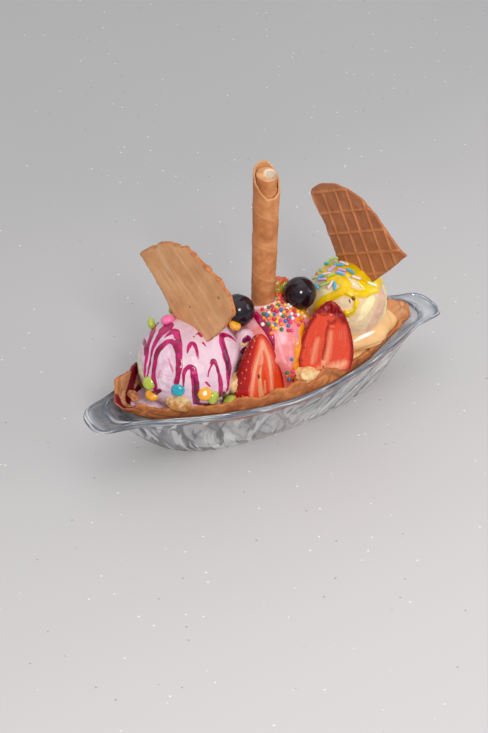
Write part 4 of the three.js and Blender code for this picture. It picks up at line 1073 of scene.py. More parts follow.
def joinedPiece(name, parts, material, slot):
    points, faces, colours, start = [], [], [], 0
    for partPoints, partFaces, tint in parts:
        points.append(partPoints)
        faces += [[v + start for v in face] for face in partFaces]
        colours.append(np.tile(linear(*tint), (len(partPoints), 1)))
        start += len(partPoints)
    return makePiece(name, np.concatenate(points), faces, material, slot=slot,
                     colours=np.concatenate(colours))


def buildBeads(material):
    scoop = scoops["pink"]
    dice = np.random.default_rng(beads["seed"])
    chosen = [(towards(*turn), tint) for tint in beadTints for turn in beads[tint]]
    axis = towards(*beads["middle"])
    side = unit(np.cross((0, 0, 1), axis))
    other = np.cross(axis, side)
    wanted = len(chosen) + beads["extra"]
    for _ in range(4000):
        if len(chosen) == wanted:
            break
        away, turn = np.radians(beads["spread"]) * dice.random() ** 0.6, 2 * np.pi * dice.random()
        spot = axis * np.cos(away) + (side * np.cos(turn) + other * np.sin(turn)) * np.sin(away)
        if all(np.linalg.norm(spot - one) > beads["clear"] / scoop["radii"][0] for one, _ in chosen):
            chosen.append((spot, list(beadTints)[dice.integers(len(beadTints))]))
    ball, faces = ballMesh(3)
    parts = []
    for spot, tint in chosen:
        lift = scoopOffset(scoop, spot[None, :])[0] + beads["raised"] * beads["radius"]
        centre = onScoop(scoop, spot[None, :], lift)[0]
        parts.append((ball * beads["radius"] * dice.uniform(0.86, 1.06) + centre, faces.tolist(),
                      beadTints[tint]))
    joinedPiece("sugar_beads", parts, material, "pink_ice_cream")


def buildRods(material):
    scoop = scoops["cream"]
    columns, rows = rod["columns"], rod["rows"]
    faces = gridFaces(rows, columns).tolist() + [list(range(columns))[::-1],
        [(rows - 1) * columns + i for i in range(columns)]]
    parts = []
    for index, (tint, *turns) in enumerate(rods):
        lift = rod["lift"] + rod["liftStep"] * (index % 3)
        ends = [onScoop(scoop, towards(*turns[k:k + 2])[None, :], lift)[0] for k in (0, 2)]
        axis = ends[1] - ends[0]
        length = np.clip(np.linalg.norm(axis), rod["shortest"], rod["longest"])
        middle, axis = (ends[0] + ends[1]) / 2, unit(axis)
        side = unit(np.cross(axis, (0.3, 0.2, 0.9)))
        up = np.cross(axis, side)
        turn = fullTurn(columns)
        circle = np.outer(np.cos(turn), side) + np.outer(np.sin(turn), up)
        rings = []
        for t in np.linspace(-1, 1, rows):
            past = max(0, abs(t) - rod["capFrom"]) / (1 - rod["capFrom"])
            narrowed = np.sqrt(max(0.05, 1 - past**2))
            rings.append(middle + axis * t * length / 2 + circle * rod["radius"] * narrowed)
        parts.append((np.concatenate(rings), faces, rodTints[tint]))
    joinedPiece("sugar_rods", parts, material, "cream_ice_cream")


# The rolled wafer: an outer winding, and an inner one with its bore a little to one side

roll = {"base": (0.0014, 0.0085, 0.062), "radius": 0.0068, "topRadius": 0.0077, "wall": 0.0012,
        "topBack": 0.1633, "topFront": 0.146, "lean": 1.3, "columns": 150, "rows": 130, "windPitch": 0.021,
        "step": 0.00022, "openDepth": 0.012, "innerRadius": 0.0061, "boreRadius": 0.0031,
        "boreShift": (0.0019, -0.0011), "innerBottom": 0.136, "innerTop": 0.1584, "innerSlope": 0.0012,
        "boreDepth": 0.021}


def rollTop(angle, back, front, power=0.9):
    return front + (back - front) * ((np.sin(angle) + 1) / 2) ** power


def buildTube(name, radii, innerRadius, bottom, top, depth, material, shift=(0, 0), nodes=()):
    angle = fullTurn(roll["columns"])
    around = np.stack([np.cos(angle), np.sin(angle)], -1)
    lowRadius, highRadius = radii
    rings, winds, edges, insides = [], [], [], []

    def add(radius, z, edge, inside, moved=(0, 0)):
        wind = z / roll["windPitch"] + angle / (2 * np.pi)
        saw = wind - np.floor(wind)
        spot = np.column_stack([around * radius, z])
        rough = 0.00016 * lumpy(spot, 0.005, 61) + 0.00008 * lumpy(spot, 0.002, 62)
        swell = roll["step"] * (saw**3 - 0.35) + rough if not inside else rough
        ring = np.column_stack([around * np.reshape(radius + swell, (-1, 1)) + np.array(moved), z])
        ring[:, 0] += (z - roll["base"][2]) * np.tan(np.radians(roll["lean"])) + roll["base"][0]
        ring[:, 1] += roll["base"][1]
        rings.append(ring)
        winds.append(saw)
        edges.append(np.full(len(angle), edge))
        insides.append(np.full(len(angle), inside))

    for t in np.linspace(0, 1, roll["rows"]):
        radius = lowRadius + (highRadius - lowRadius) * t
        add(radius, bottom + (top - 0.0004 - bottom) * t, max(0, 1 - (1 - t) * 60), 0.0)
    for t in (0.25, 0.75):
        add(highRadius - (highRadius - innerRadius) * t, top, 1, 0.0, np.array(shift) * t)
    for t in np.linspace(0, 1, 26):
        add(innerRadius, top - 0.0004 - depth * t, max(0, 1 - t * 5), 1.0, shift)
    loftPiece(name, rings, material, nodes=nodes, slot="wafer",
              masks={"wind": winds, "edge": edges, "inside": insides})


def rollMaterial(name, insideTone):
    material, tree, shader = newMaterial(name, Specular_IOR_Level=0.35, Subsurface_Weight=0.06,
                                         Subsurface_Radius=(0.004, 0.002, 0.001))
    spot = pointOf(tree)
    edge = product(tree, painted(tree, "edge"), 0.55)
    out = placeGroup(tree, bakedGroup, {
        "Vector": spot, "Blister Scale": 210.0, "Pore Scale": 1500.0, "Pale": linear(214, 150, 98),
        "Toasted": linear(190, 118, 66), "Edge": edge, "Edge Colour": linear(226, 176, 128)})
    wander = between(tree, noise(tree, spot, 110.0, detail=3.0), 0.3, 0.7, -0.35, 0.35)
    band = between(tree, added(tree, painted(tree, "wind"), wander), 0.5, 1.0, 0.0, 0.45)
    patch = between(tree, noise(tree, spot, 70.0, detail=4.0), 0.52, 0.66, 0.0, 0.5)
    colour = mixed(tree, arithmetic(tree, "MAXIMUM", band, patch), out["Colour"], linear(164, 96, 54))
    colour = mixed(tree, product(tree, painted(tree, "inside"), 0.85), colour, linear(*insideTone))
    feed(tree, shader, Base_Color=colour, Roughness=out["Roughness"])
    bumped(tree, shader, out["Height"], 0.0009, 0.7)
    return material


def buildRoll():
    angle = fullTurn(roll["columns"])
    scallop = 0.0007 * np.cos(5 * angle + 1) + 0.0004 * np.cos(11 * angle)
    outerTop = rollTop(angle, roll["topBack"], roll["topFront"]) + scallop * 0.5 - 0.0004
    buildTube("rolled_wafer_outer", (roll["radius"], roll["topRadius"]), roll["topRadius"] - roll["wall"],
              roll["base"][2], outerTop, roll["openDepth"], rollMaterial("rolledWafer", (206, 150, 100)),
              nodes=["rolled_wafer"])
    innerTop = roll["innerTop"] + roll["innerSlope"] * np.sin(angle)
    buildTube("rolled_wafer_inner", (roll["innerRadius"], roll["innerRadius"]), roll["boreRadius"],
              roll["innerBottom"], innerTop, roll["boreDepth"],
              rollMaterial("rolledWaferInner", (240, 230, 214)), shift=roll["boreShift"])


# Flat broken wafers: a sheet in its own plane (along, up, through), stood across the dish

wafers = {
    "plain": {
        "point": (-0.0516, 0.0007, 0.082), "turn": -77.3, "thickness": 0.0021, "rings": 26, "columns": 340,
        "node": "wafer_piece", "slot": "flat_wafer", "jag": 0.00055, "nubs": 0.0011, "seed": 101,
        "outline": [(-41, 26.2), (-31, 35.4), (-27.5, 36.5), (-23.9, 41.4), (-15.1, 46.4), (-5.5, 47.9),
                    (-0.7, 50.7), (1.8, 49.2), (13.3, 45.7), (26.4, 41.7), (35.3, 35), (38.5, 25.1),
                    (29.3, 10), (17.3, -5.5), (6, -11), (-6, -9), (-11.6, -3.3), (-20.8, 7.3), (-33.4, 19.7)],
    },
    "waffle": {
        "point": (0.0609, -0.002, 0.0802), "turn": -77.9, "thickness": 0.0016, "rings": 54, "columns": 420,
        "node": "waffle_piece", "slot": "waffle", "jag": 0.0004, "nubs": 0.0, "seed": 111, "tilt": 30,
        "pitch": (0.0109, 0.0132), "stagger": 0.0004, "rib": 0.00085, "proud": 0.0007,
        "origin": (-0.0084, 0.0214), "bare": 0.0278,
        "outline": [(-41, 36.3), (-33.6, 43.4), (-22, 48.6), (-10.4, 49.6), (0.3, 48.6), (11.1, 43.6),
                    (21.2, 36.3), (32.1, 29.3), (37.8, 28.1), (26.6, 13.9), (12, -3.7), (5, -11), (-6, -12),
                    (-13, -8), (-19.3, 1.6), (-29.3, 18.1), (-40.9, 31.5)],
    },
}


def closedPath(wafer):
    corners = np.array(wafer["outline"] + wafer["outline"][:1], float) / 1000
    along = np.concatenate([[0], np.cumsum(np.linalg.norm(np.diff(corners, axis=0), axis=1))])
    spots = np.linspace(0, along[-1], wafer["columns"], endpoint=False)
    path = np.stack([np.interp(spots, along, corners[:, k]) for k in (0, 1)], -1)
    path = sum(np.roll(path, k, 0) for k in (-2, -1, 0, 1, 2)) / 5
    flat = np.column_stack([path, np.zeros(len(path))])
    rough = wafer["jag"] * (lumpy(flat, 0.0035, wafer["seed"]) + 0.7 * lumpy(flat, 0.0012, wafer["seed"] + 1))
    return path + unit(path - path.mean(0)) * rough[:, None]


def waffleRib(spot, wafer):
    tilt = np.radians(-wafer["tilt"])
    u, v = spot[:, 0] - wafer["origin"][0], spot[:, 1] - wafer["origin"][1]
    steep, cross = u * np.cos(tilt) - v * np.sin(tilt), u * np.sin(tilt) + v * np.cos(tilt)
    nearest = np.round(steep / wafer["pitch"][0])
    stagger = wafer["stagger"] * np.where(nearest % 2 == 0, 1, -1)
    steepAway = np.abs(steep - wafer["pitch"][0] * nearest - stagger)
    crossAway = np.abs(cross - wafer["pitch"][1] * np.round(cross / wafer["pitch"][1]))
    steepAway = np.where(cross > wafer["bare"], 1, steepAway)
    crossAway = np.where(cross > wafer["bare"], 1, crossAway)
    return 1 - stepped(np.minimum(steepAway, crossAway), wafer["rib"] * 0.45, wafer["rib"] * 1.3)


def buildWafer(name, material):
    wafer = wafers[name]
    seed = wafer["seed"]
    path = closedPath(wafer)
    middle = path.mean(0)
    half = wafer["thickness"] / 2
    shares = np.linspace(0.02, 1, wafer["rings"])
    rows = [(share, -1) for share in shares[:-1]] + [(0.992, -1), (1.0, -0.5), (1.0, 0.5), (0.992, 1)]
    rows += [(share, 1) for share in shares[:-1][::-1]]
    rings, edges, ribs = [], [], []
    for share, side in rows:
        flat = middle + (path - middle) * share
        spot = np.column_stack([flat, np.full(len(flat), side * 0.01)])
        rib = waffleRib(flat, wafer) if "rib" in wafer else np.zeros(len(flat))
        uneven = 0.00018 * lumpy(spot, 0.006, seed + 2) + 0.00008 * lumpy(spot, 0.002, seed + 3)
        rough = np.maximum(0, lumpy(flat @ np.array([[1, 0, 0], [0, 1, 0]]), 0.0026, seed + 6))
        nub = wafer["nubs"] * rough * stepped(share, 0.965, 0.99)
        raised = rib * wafer.get("proud", 0) * (1 if side > 0 else 0.6)
        through = side * (half + (raised + uneven) * (0.4 + 0.6 * (1 - stepped(share, 0.97, 1))) + nub)
        rings.append(np.column_stack([flat[:, 0], -through, flat[:, 1]]))
        ragged = 0.028 + 0.02 * lumpy(flat @ np.array([[1, 0, 0], [0, 1, 0]]), 0.006, seed + 4)
        edges.append(np.clip((share - 1 + ragged) / ragged, 0, 1))
        ribs.append(rib)
    turn = np.radians(wafer["turn"])
    spin = np.array([[np.cos(turn), np.sin(turn), 0], [-np.sin(turn), np.cos(turn), 0], [0, 0, 1]])
    rings = [ring @ spin + np.array(wafer["point"]) for ring in rings]
    loftPiece(name + "_wafer_sheet", rings, material, nodes=[wafer["node"]], slot=wafer["slot"],
              masks={"edge": edges, "rib": ribs})


def plainWaferMaterial():
    material, tree, shader = newMaterial("flatWafer", Specular_IOR_Level=0.4)
    spot = pointOf(tree)
    slanted = stretched(tree, spot, (1.0, 1.0, 1.0), (-0.63, 0.0, 0.0))
    streaks = noise(tree, stretched(tree, slanted, (30.0, 30.0, 300.0)), 1.0, detail=4.0)
    blotch = noise(tree, spot, 75.0, detail=3.0)
    grain = noise(tree, spot, 500.0, detail=4.0)
    colour = mixed(tree, between(tree, blotch, 0.35, 0.65), linear(232, 172, 118), linear(212, 150, 100))
    colour = mixed(tree, between(tree, streaks, 0.55, 0.68, 0.0, 0.45), colour, linear(242, 204, 164))
    colour = mixed(tree, between(tree, streaks, 0.44, 0.34, 0.0, 0.25), colour, linear(176, 120, 88))
    pits = cellAway(tree, spot, 130.0)
    pit = product(tree, between(tree, pits, 0.08, 0.14, 0.9, 0.0),
                     between(tree, noise(tree, spot, 60.0), 0.46, 0.52))
    colour = mixed(tree, pit, colour, linear(112, 66, 40))
    edge = product(tree, painted(tree, "edge"), between(tree, grain, 0.35, 0.65, 0.55, 1.0))
    colour = mixed(tree, edge, colour, linear(172, 90, 38))
    feed(tree, shader, Base_Color=colour, Roughness=between(tree, grain, 0.3, 0.7, 0.5, 0.7))
    relief = added(tree, product(tree, streaks, 0.6), product(tree, grain, 0.4))
    bumped(tree, shader, arithmetic(tree, "SUBTRACT", added(tree, relief, blotch), pit), 0.0006, 0.6)
    return material


def waffleMaterial():
    material, tree, shader = newMaterial("waffle", Specular_IOR_Level=0.4)
    spot = pointOf(tree)
    grain = noise(tree, spot, 900.0, detail=5.0)
    blotch = noise(tree, spot, 110.0)
    shade = between(tree, blotch, 0.35, 0.65)
    # Painted highlight: the ribs are painted lighter than the cells, where their rounded tops catch the light
    cell = mixed(tree, shade, linear(188, 120, 76), linear(168, 102, 62))
    rib = mixed(tree, shade, linear(210, 136, 84), linear(194, 118, 68))
    colour = mixed(tree, painted(tree, "rib"), cell, rib)
    edge = product(tree, painted(tree, "edge"), between(tree, grain, 0.35, 0.6, 0.3, 0.9))
    colour = mixed(tree, edge, colour, linear(172, 94, 48))
    feed(tree, shader, Base_Color=colour, Roughness=between(tree, grain, 0.3, 0.7, 0.42, 0.6))
    bumped(tree, shader, added(tree, blotch, product(tree, grain, 0.35)), 0.0005, 0.5)
    return material


# Grapes

grapes = {"grape_left": {"centre": (-0.0182, 0.0028, 0.0752), "radius": 0.0094, "scar": (0.2, 0.7, 0.7)},
          "grape_right": {"centre": (0.0216, 0.0, 0.075), "radius": 0.0097, "scar": (0.6, 0.5, 0.5)}}
scar = {"reach": 8, "depth": 0.0007, "rimAt": 13, "rimWide": 5, "rimRise": 0.0004}


def buildGrape(name, material):
    grape = grapes[name]
    directions, faces = ballMesh(6)
    middle = unit(np.array(grape["scar"]))
    away = np.degrees(np.arccos(np.clip(directions @ middle, -1, 1)))
    offset = 0.00012 * lumpy(directions, 0.7, 71) + 0.00003 * lumpy(directions, 0.2, 72)
    offset -= scar["depth"] * np.exp(-((away / scar["reach"]) ** 2))
    offset += scar["rimRise"] * np.exp(-(((away - scar["rimAt"]) / scar["rimWide"]) ** 2))
    points = directions * (grape["radius"] + offset[:, None]) + np.array(grape["centre"])
    makePiece(name + "_skin", points, faces, material, nodes=[name], slot="black_grape",
              masks={"scar": np.exp(-((away / (scar["reach"] + 1)) ** 2))})


def grapeMaterial():
    material, tree, shader = newMaterial("blackGrapeSkin", Coat_Weight=0.12, Coat_Roughness=0.05,
                                         Specular_IOR_Level=0.35)
    spot = pointOf(tree)
    bloom = between(tree, noise(tree, spot, 130.0, detail=4.0), 0.42, 0.7, 0.0, 0.2)
    skin = mixed(tree, noise(tree, spot, 60.0), linear(20, 10, 14), linear(34, 18, 30))
    colour = mixed(tree, bloom, skin, linear(62, 58, 70))
    colour = mixed(tree, painted(tree, "scar"), colour, linear(96, 66, 48))
    feed(tree, shader, Base_Color=colour, Roughness=between(tree, bloom, 0.0, 0.4, 0.12, 0.32))
    bumped(tree, shader, noise(tree, spot, 400.0), 0.0001, 0.3)
    return material


# Sugar-coated sweets: middle in mm, the way each faces, tint and size

sweet = {"radius": 0.0041, "halfThickness": 0.0024, "blunt": 0.7, "columns": 48, "rows": 30}
sweets = [
    ((-65.6, 20.6, 72), (0.8, -0.45, 0.3), "green", 0.85),
    ((-59.3, 12.6, 77.7), (-0.15, 0.3, 0.94), "pink", 1.0),
    ((-50.5, 19.5, 77), (0.1, 0.6, 0.8), "green", 1.0),
    ((-82.2, -6.8, 53.7), (-0.6, -0.6, 0.5), "green", 0.95),
    ((-80.2, -6.8, 45), (-0.3, -0.3, 0.9), "yellow", 1.08),
    ((-72, -22.2, 55.2), (-0.5, -0.75, 0.4), "blue", 0.95),
    ((-58.9, -29.4, 52.2), (-0.28, -0.7, 0.65), "yellow", 1.0),
    ((-52.7, -28.6, 47), (0.58, -0.88, -0.05), "green", 1.1),
    ((-41.4, -28, 39), (-0.3, 0.25, 0.92), "green", 1.05),
    ((-24.7, -4.6, 71.7), (0.26, -0.3, 0.9), "yellow", 0.88),
]
sweetTints = {"green": (164, 180, 52), "pink": (240, 110, 166), "yellow": (234, 156, 4),
              "blue": (4, 148, 166)}


def buildSweet(index, centre, facing, tint, size, material):
    up = unit(np.array(facing))
    side = unit(np.cross(up, (0.1, 0.9, 0.4)))
    other = np.cross(up, side)
    turn = fullTurn(sweet["columns"])
    circle = np.outer(np.cos(turn), side) + np.outer(np.sin(turn), other)
    rings = []
    for t in np.linspace(-0.985, 0.985, sweet["rows"]) * np.pi / 2:
        wide = sweet["radius"] * np.cos(t) ** sweet["blunt"]
        local = circle * wide + up * sweet["halfThickness"] * np.sin(t)
        rings.append(np.array(centre) / 1000 + local * size)
    points = np.concatenate(rings)
    dents = 0.00012 * lumpy(points, 0.003, 120 + index)
    rings = [ring + up * dents[k * len(ring):(k + 1) * len(ring), None] for k, ring in enumerate(rings)]
    loftPiece("sweet_shell_%d" % index, rings, material, nodes=["candy_%d" % index], slot="sweet_" + tint)


def sweetMaterial(tint):
    name = "sweet" + tint.capitalize()
    material, tree, shader = newMaterial(name, Roughness=0.2, Coat_Weight=0.6, Coat_Roughness=0.06)
    spot = pointOf(tree)
    main = linear(*sweetTints[tint])
    paler = (*[min(1, channel * 1.12 + 0.02) for channel in main[:3]], 1)
    mottled = between(tree, noise(tree, spot, 420.0, detail=4.0), 0.4, 0.6)
    feed(tree, shader, Base_Color=mixed(tree, mottled, main, paler))
    bumped(tree, shader, noise(tree, spot, 260.0), 0.0003, 0.25)
    return material


# Strawberry halves. Marks on the cut face are (across, up, width) in mm from the middle of its base

berryHalves = {
    "strawberry_half_left": {
        "base": (-21.8, -30.1, 31.4), "apex": (-17.4, -19.9, 72.8), "face": (0.2, -0.94, 0.26), "width": 38,
        "depth": 17, "baseShare": 0.94, "tipPower": 1.21, "tipBlunt": 0.58, "seed": 81, "rimBand": 1.4,
        "bumpyFrom": 2.0, "flesh": ((230, 78, 30), (210, 48, 18)), "rim": (180, 8, 10), "fibre": 0.4,
        "wrap": 0.66,
        "marks": {
            "pale": {"soft": 3.2, "tone": (242, 182, 146), "strokes": [
                [(1.3, 37.4, 1.6), (-0.3, 33.1, 2.2), (-2.2, 28.9, 2.2), (-3.7, 24.7, 2.2), (-5, 20.5, 2.2),
                 (-6.1, 16.2, 2), (-7, 11.7, 1.8), (-8, 5.7, 1.8)],
                [(2, 37.4, 1.2), (3.9, 32.6, 1.7), (5.5, 27.5, 1.9), (6.5, 21.7, 2), (7.1, 16.1, 2.1),
                 (7.5, 10.5, 2.2), (8, 3.9, 2.4)], [(1.5, 34.9, 3), (1.1, 29.9, 2.4), (-0, 24.9, 1.6)]]},
            "core": {"soft": 1.2, "tone": (234, 88, 56), "strokes": [
                [(1.8, 31.7, 1.2), (2.5, 27.6, 2), (3.6, 22.6, 2.4), (4.5, 17.7, 2.4), (4.9, 12.8, 2),
                 (5.2, 6.9, 1.6)],
                [(-1.8, 23.4, 1.2), (-2.9, 18.3, 1.6), (-4, 13.2, 2), (-4.9, 5.8, 2)]]},
            "heart": {"soft": 1.0, "tone": (226, 164, 118), "strokes": [
                [(-0.3, 22.3, 1.2), (-1.2, 17.8, 2), (-1.3, 11.8, 3), (-0.3, 4.8, 4.4)],
                [(2.3, 12.9, 1.2), (2.6, 5.9, 1.4)]]},
            "pit": {"soft": 0.7, "tone": (70, 20, 14), "depth": 1.2,
                    "strokes": [[(-1.8, 17.7, 1.1), (-1.4, 16, 1.4)]]},
        },
    },
    "strawberry_half_right": {
        "base": (19.2, -32.8, 41.5), "apex": (28.1, -23.6, 82.2), "face": (-0.34, -0.87, 0.35), "width": 34,
        "depth": 14, "baseShare": 0.9, "tipPower": 2.1, "tipBlunt": 0.68, "seed": 82, "rimBand": 1.8,
        "bumpyFrom": 0.79, "flesh": ((230, 80, 42), (214, 50, 28)), "rim": (150, 2, 8), "fibre": 0.3,
        "wrap": 1.0,
        "marks": {
            "crown": {"soft": 2.6, "tone": (140, 0, 6), "strokes": [
                [(-5.6, 37.2, 5), (-0.2, 37.7, 7), (5.2, 35.5, 6.5), (8.4, 30.9, 4.5)],
                [(9.6, 34.1, 2), (13.1, 28, 2.6),
                 (15.4, 20.4, 2.4), (15.9, 12.6, 2), (15.7, 5.3, 1.6)]]},
            "pale": {"soft": 4.0, "tone": (242, 172, 134), "strokes": [
                [(1.3, 23.1, 0.8), (1.2, 15.4, 1.2), (0.7, 9.1, 1.8), (-0.4, 4.5, 2.8), (-0.7, 0.7, 4)],
                [(-3.1, -0.2, 4), (3, 1, 5.4), (7.4, 2.1, 4.6), (11.5, 4.4, 2.6)],
                [(-5.9, 18.4, 0.6), (-6.8, 12.1, 0.9), (-7.7, 4.9, 1)]]},
            "slit": {"soft": 1.4, "tone": (150, 18, 14), "depth": 1.4, "strokes": [
                [(0.2, 28.8, 0.9), (-0.8, 24.6, 1), (-1, 20, 1), (-1.2, 13.8, 0.9), (-1.8, 9.9, 0.8),
                 (-1.9, 6.3, 0.5)],
                [(-0.6, 29.6, 1), (1.3, 28, 1.1), (3.3, 30.4, 0.9), (2.9, 27.8, 0.8)]]},
            "seeds": {"soft": 0.4, "tone": (96, 50, 24), "strokes": [
                [(-13.4, 13.6, 0.8), (-13.3, 13.1, 0.8)], [(-13.9, 5.7, 0.8), (-13.8, 5.2, 0.8)],
                [(-2.4, 12.2, 0.8), (-2.4, 11.7, 0.8)], [(-1.1, 2.1, 0.8), (-1.1, 1.7, 0.8)]]},
        },
    },
}
berrySkin = {"rows": 100, "arc": 80, "face": 100, "seedPitch": 2.5, "dimple": 0.0004, "dimpleReach": 0.0007,
             "lipAt": 0.0012, "lipReach": 0.0006, "bulge": 0.0008, "fullShare": 0.3, "wrapDepth": 0.003,
             "wrapEvery": 5, "wrapTurn": 4.0, "wrapPlaces": (0.27, 0.12), "wrapFade": 0.12,
             "seedSize": (0.00044, 0.00076, 0.00032), "seedSink": 0.0001,
             "seedTints": ((222, 160, 72), (96, 24, 20)), "paleShare": 0.45}


def insideMarks(x, y, strokes):
    spots = np.stack([x, y], -1)
    inside = np.full(len(x), -9.0)
    for stroke in strokes:
        for *middle, width in smoothPath(stroke, 10 * len(stroke)):
            inside = np.maximum(inside, width / 2 - np.linalg.norm(spots - middle, axis=1))
    return inside


def buildStrawberry(name, material, seedMaterial):
    half = berryHalves[name]
    base, apex = np.array(half["base"]) / 1000, np.array(half["apex"]) / 1000
    length = np.linalg.norm(apex - base)
    axis = (apex - base) / length
    face = np.array(half["face"])
    back = -unit(face - axis * (face @ axis))
    side = np.cross(back, axis)
    deepShare = half["depth"] / half["width"] * 2

    def wideAt(share):
        swell = half["baseShare"] + (1 - half["baseShare"]) * np.sin(
            np.pi * np.minimum(share, berrySkin["fullShare"]) / (2 * berrySkin["fullShare"]))
        return swell * np.maximum(0, 1 - share ** half["tipPower"]) ** half["tipBlunt"] * half["width"] / 2000

    def skinPoint(share, turn):
        wide = wideAt(share)
        across, deep = wide * np.cos(turn), wide * deepShare * np.sin(turn)
        return base + np.outer(share * length, axis) + np.outer(across, side) + np.outer(deep, back)

    dice = np.random.default_rng(half["seed"])
    pitch = berrySkin["seedPitch"] / 1000
    spots = []
    for row, share in enumerate(np.arange(0.05, 0.98, pitch / length * 0.9)):
        count = max(2, int(np.pi * wideAt(share) * (1 + deepShare) / 2 / pitch))
        spots += [(share + dice.uniform(-0.006, 0.006), np.pi * (k + 0.25 + 0.5 * (row % 2)) / count)
                  for k in range(count)]
    seedShares, seedTurns = np.array(spots).T
    seeds = skinPoint(seedShares, seedTurns)
    rings, wrapSeeds = [], []
    labels = ["face", "depth", "across", "along", *half["marks"]]
    masks = {label: [] for label in labels}
    turn = np.linspace(0, np.pi, berrySkin["arc"])
    across = np.linspace(-1, 1, berrySkin["face"] + 2)[1:-1]
    for share in 0.9985 * (1 - (1 - np.linspace(0, 1, berrySkin["rows"])) ** 1.35 * 0.999):
        skin = skinPoint(np.full(len(turn), share), turn)
        away = np.linalg.norm(skin[:, None, :] - seeds[None, :, :], axis=2).min(axis=1)
        dip = np.exp(-((away / berrySkin["dimpleReach"]) ** 2))
        dip -= 0.8 * np.exp(-(((away - berrySkin["lipAt"]) / berrySkin["lipReach"]) ** 2))
        middle = base + axis * share * length
        sides = np.sin(np.clip(turn * 4, 0, np.pi / 2)) * np.sin(np.clip((np.pi - turn) * 4, 0, np.pi / 2))
        skin = skin - unit(skin - middle + 1e-9) * (berrySkin["dimple"] * dip * sides)[:, None]
        wide = wideAt(share)
        x, y = across * wide * 1000, np.full(len(across), share * length * 1000)
        wrapped = np.maximum(0, -across - half["wrap"]) / (1.001 - half["wrap"])
        inner = np.where(across < 0, half["wrap"] + across, 1 - across)
        distance = np.maximum(0, np.minimum(inner * wide, (1 - share) * length)) * 1000
        spot = np.column_stack([x, y * 0.4, 0 * x]) / 1000
        wave = 0.0003 * lumpy(spot, 0.004, half["seed"]) + 0.00012 * lumpy(spot, 0.0016, half["seed"] + 5)
        bumpy = stepped(share, half["bumpyFrom"] - 0.04, half["bumpyFrom"] + 0.03)
        wave += 0.0016 * bumpy * lumpy(spot * (1, 2.5, 1), 0.0022, half["seed"] + 9)
        dome = -berrySkin["bulge"] * (1 - across**2) * min(1, (1 - share) * 6)
        deep = dome + wave * stepped(distance, 0.0, 2.0)
        deep = deep + berrySkin["wrapDepth"] * wrapped**2 * min(1, (1 - share) * 5)
        for label, mark in half["marks"].items():
            inside = insideMarks(x, y, mark["strokes"]) + 0.15 * lumpy(spot, 0.002, 95)
            deep = deep + mark.get("depth", 0) / 1000 * stepped(inside, -mark["soft"], mark["soft"])
            masks[label].append(np.concatenate([np.full(len(turn), -9.0), inside]))
        flat = middle + np.outer(across * wide, side) + np.outer(deep, back)
        rings.append(np.concatenate([skin, flat]))
        masks["face"].append(np.concatenate([np.zeros(len(turn)),
            1 - stepped(wrapped, 0.0, berrySkin["wrapFade"])]))
        if half["wrap"] < 1 and len(rings) % berrySkin["wrapEvery"] == 0:
            place = berrySkin["wrapPlaces"][len(wrapSeeds) % 2]
            at = np.searchsorted(across, -1 + place * 2 * (1 - half["wrap"]))
            wrapSeeds.append(flat[at])
        masks["depth"].append(np.concatenate([np.zeros(len(turn)), distance]))
        masks["across"].append(np.concatenate([np.cos(turn), across]))
        masks["along"].append(np.full(len(rings[-1]), share))
    loftPiece(name + "_flesh", rings, material, nodes=[name], slot="strawberry", masks=masks)
    ball, faces = ballMesh(2)
    parts = []
    seeds = np.concatenate([seeds, np.reshape(wrapSeeds, (-1, 3))])
    seedTurns = np.concatenate([seedTurns, np.full(len(wrapSeeds), berrySkin["wrapTurn"])])
    for spot, angle in zip(seeds, seedTurns):
        outward = unit(np.cos(angle) * side + np.sin(angle) * back)
        local = ball * berrySkin["seedSize"]
        sideways = np.cross(axis, outward)
        points = spot + np.outer(local[:, 0], sideways) + np.outer(local[:, 1], axis)
        points = points + np.outer(local[:, 2] - berrySkin["seedSink"], outward)
        tint = berrySkin["seedTints"][int(dice.random() >= berrySkin["paleShare"])]
        parts.append((points, faces.tolist(), tint))
    joinedPiece(name + "_seeds", parts, seedMaterial, "strawberry")


def strawberryMaterial(name, half):
    material, tree, shader = newMaterial(name, Coat_Weight=0.2, Coat_Roughness=0.1, Subsurface_Weight=0.15,
                                         Specular_IOR_Level=0.3, Subsurface_Radius=(0.004, 0.0015, 0.001))
    spot = pointOf(tree)
    keys = addNode(tree, "ShaderNodeCombineXYZ",
                   {"X": painted(tree, "across"), "Y": painted(tree, "along")}).outputs[0]
    fibres = noise(tree, stretched(tree, keys, (18.0, 3.0, 1.0)), 1.0, detail=4.0, distortion=0.4)
    wander = between(tree, fibres, 0.3, 0.7, -0.5, 0.5)
    flesh = mixed(tree, between(tree, fibres, 0.35, 0.65), *[linear(*tone) for tone in half["flesh"]])
    band = between(tree, added(tree, painted(tree, "depth"), wander), half["rimBand"] * 0.5,
                   half["rimBand"] * 1.6, 1.0, 0.0)
    flesh = mixed(tree, between(tree, fibres, 0.55, 0.68, 0.0, half["fibre"]), flesh, linear(246, 178, 146))
    flesh = mixed(tree, band, flesh, linear(*half["rim"]))
    for label, mark in half["marks"].items():
        inside = added(tree, painted(tree, label), product(tree, wander, mark["soft"] * 0.6))
        flesh = mixed(tree, between(tree, inside, -mark["soft"] / 2, mark["soft"] / 2), flesh,
                      linear(*mark["tone"]))
    skin = mixed(tree, noise(tree, spot, 200.0), linear(150, 2, 10), linear(186, 14, 16))
    feed(tree, shader, Base_Color=mixed(tree, painted(tree, "face"), skin, flesh),
         Roughness=between(tree, noise(tree, spot, 500.0), 0.3, 0.7, 0.2, 0.4))
    bumped(tree, shader, added(tree, fibres, noise(tree, spot, 700.0)), 0.0005, 0.4)
    return material


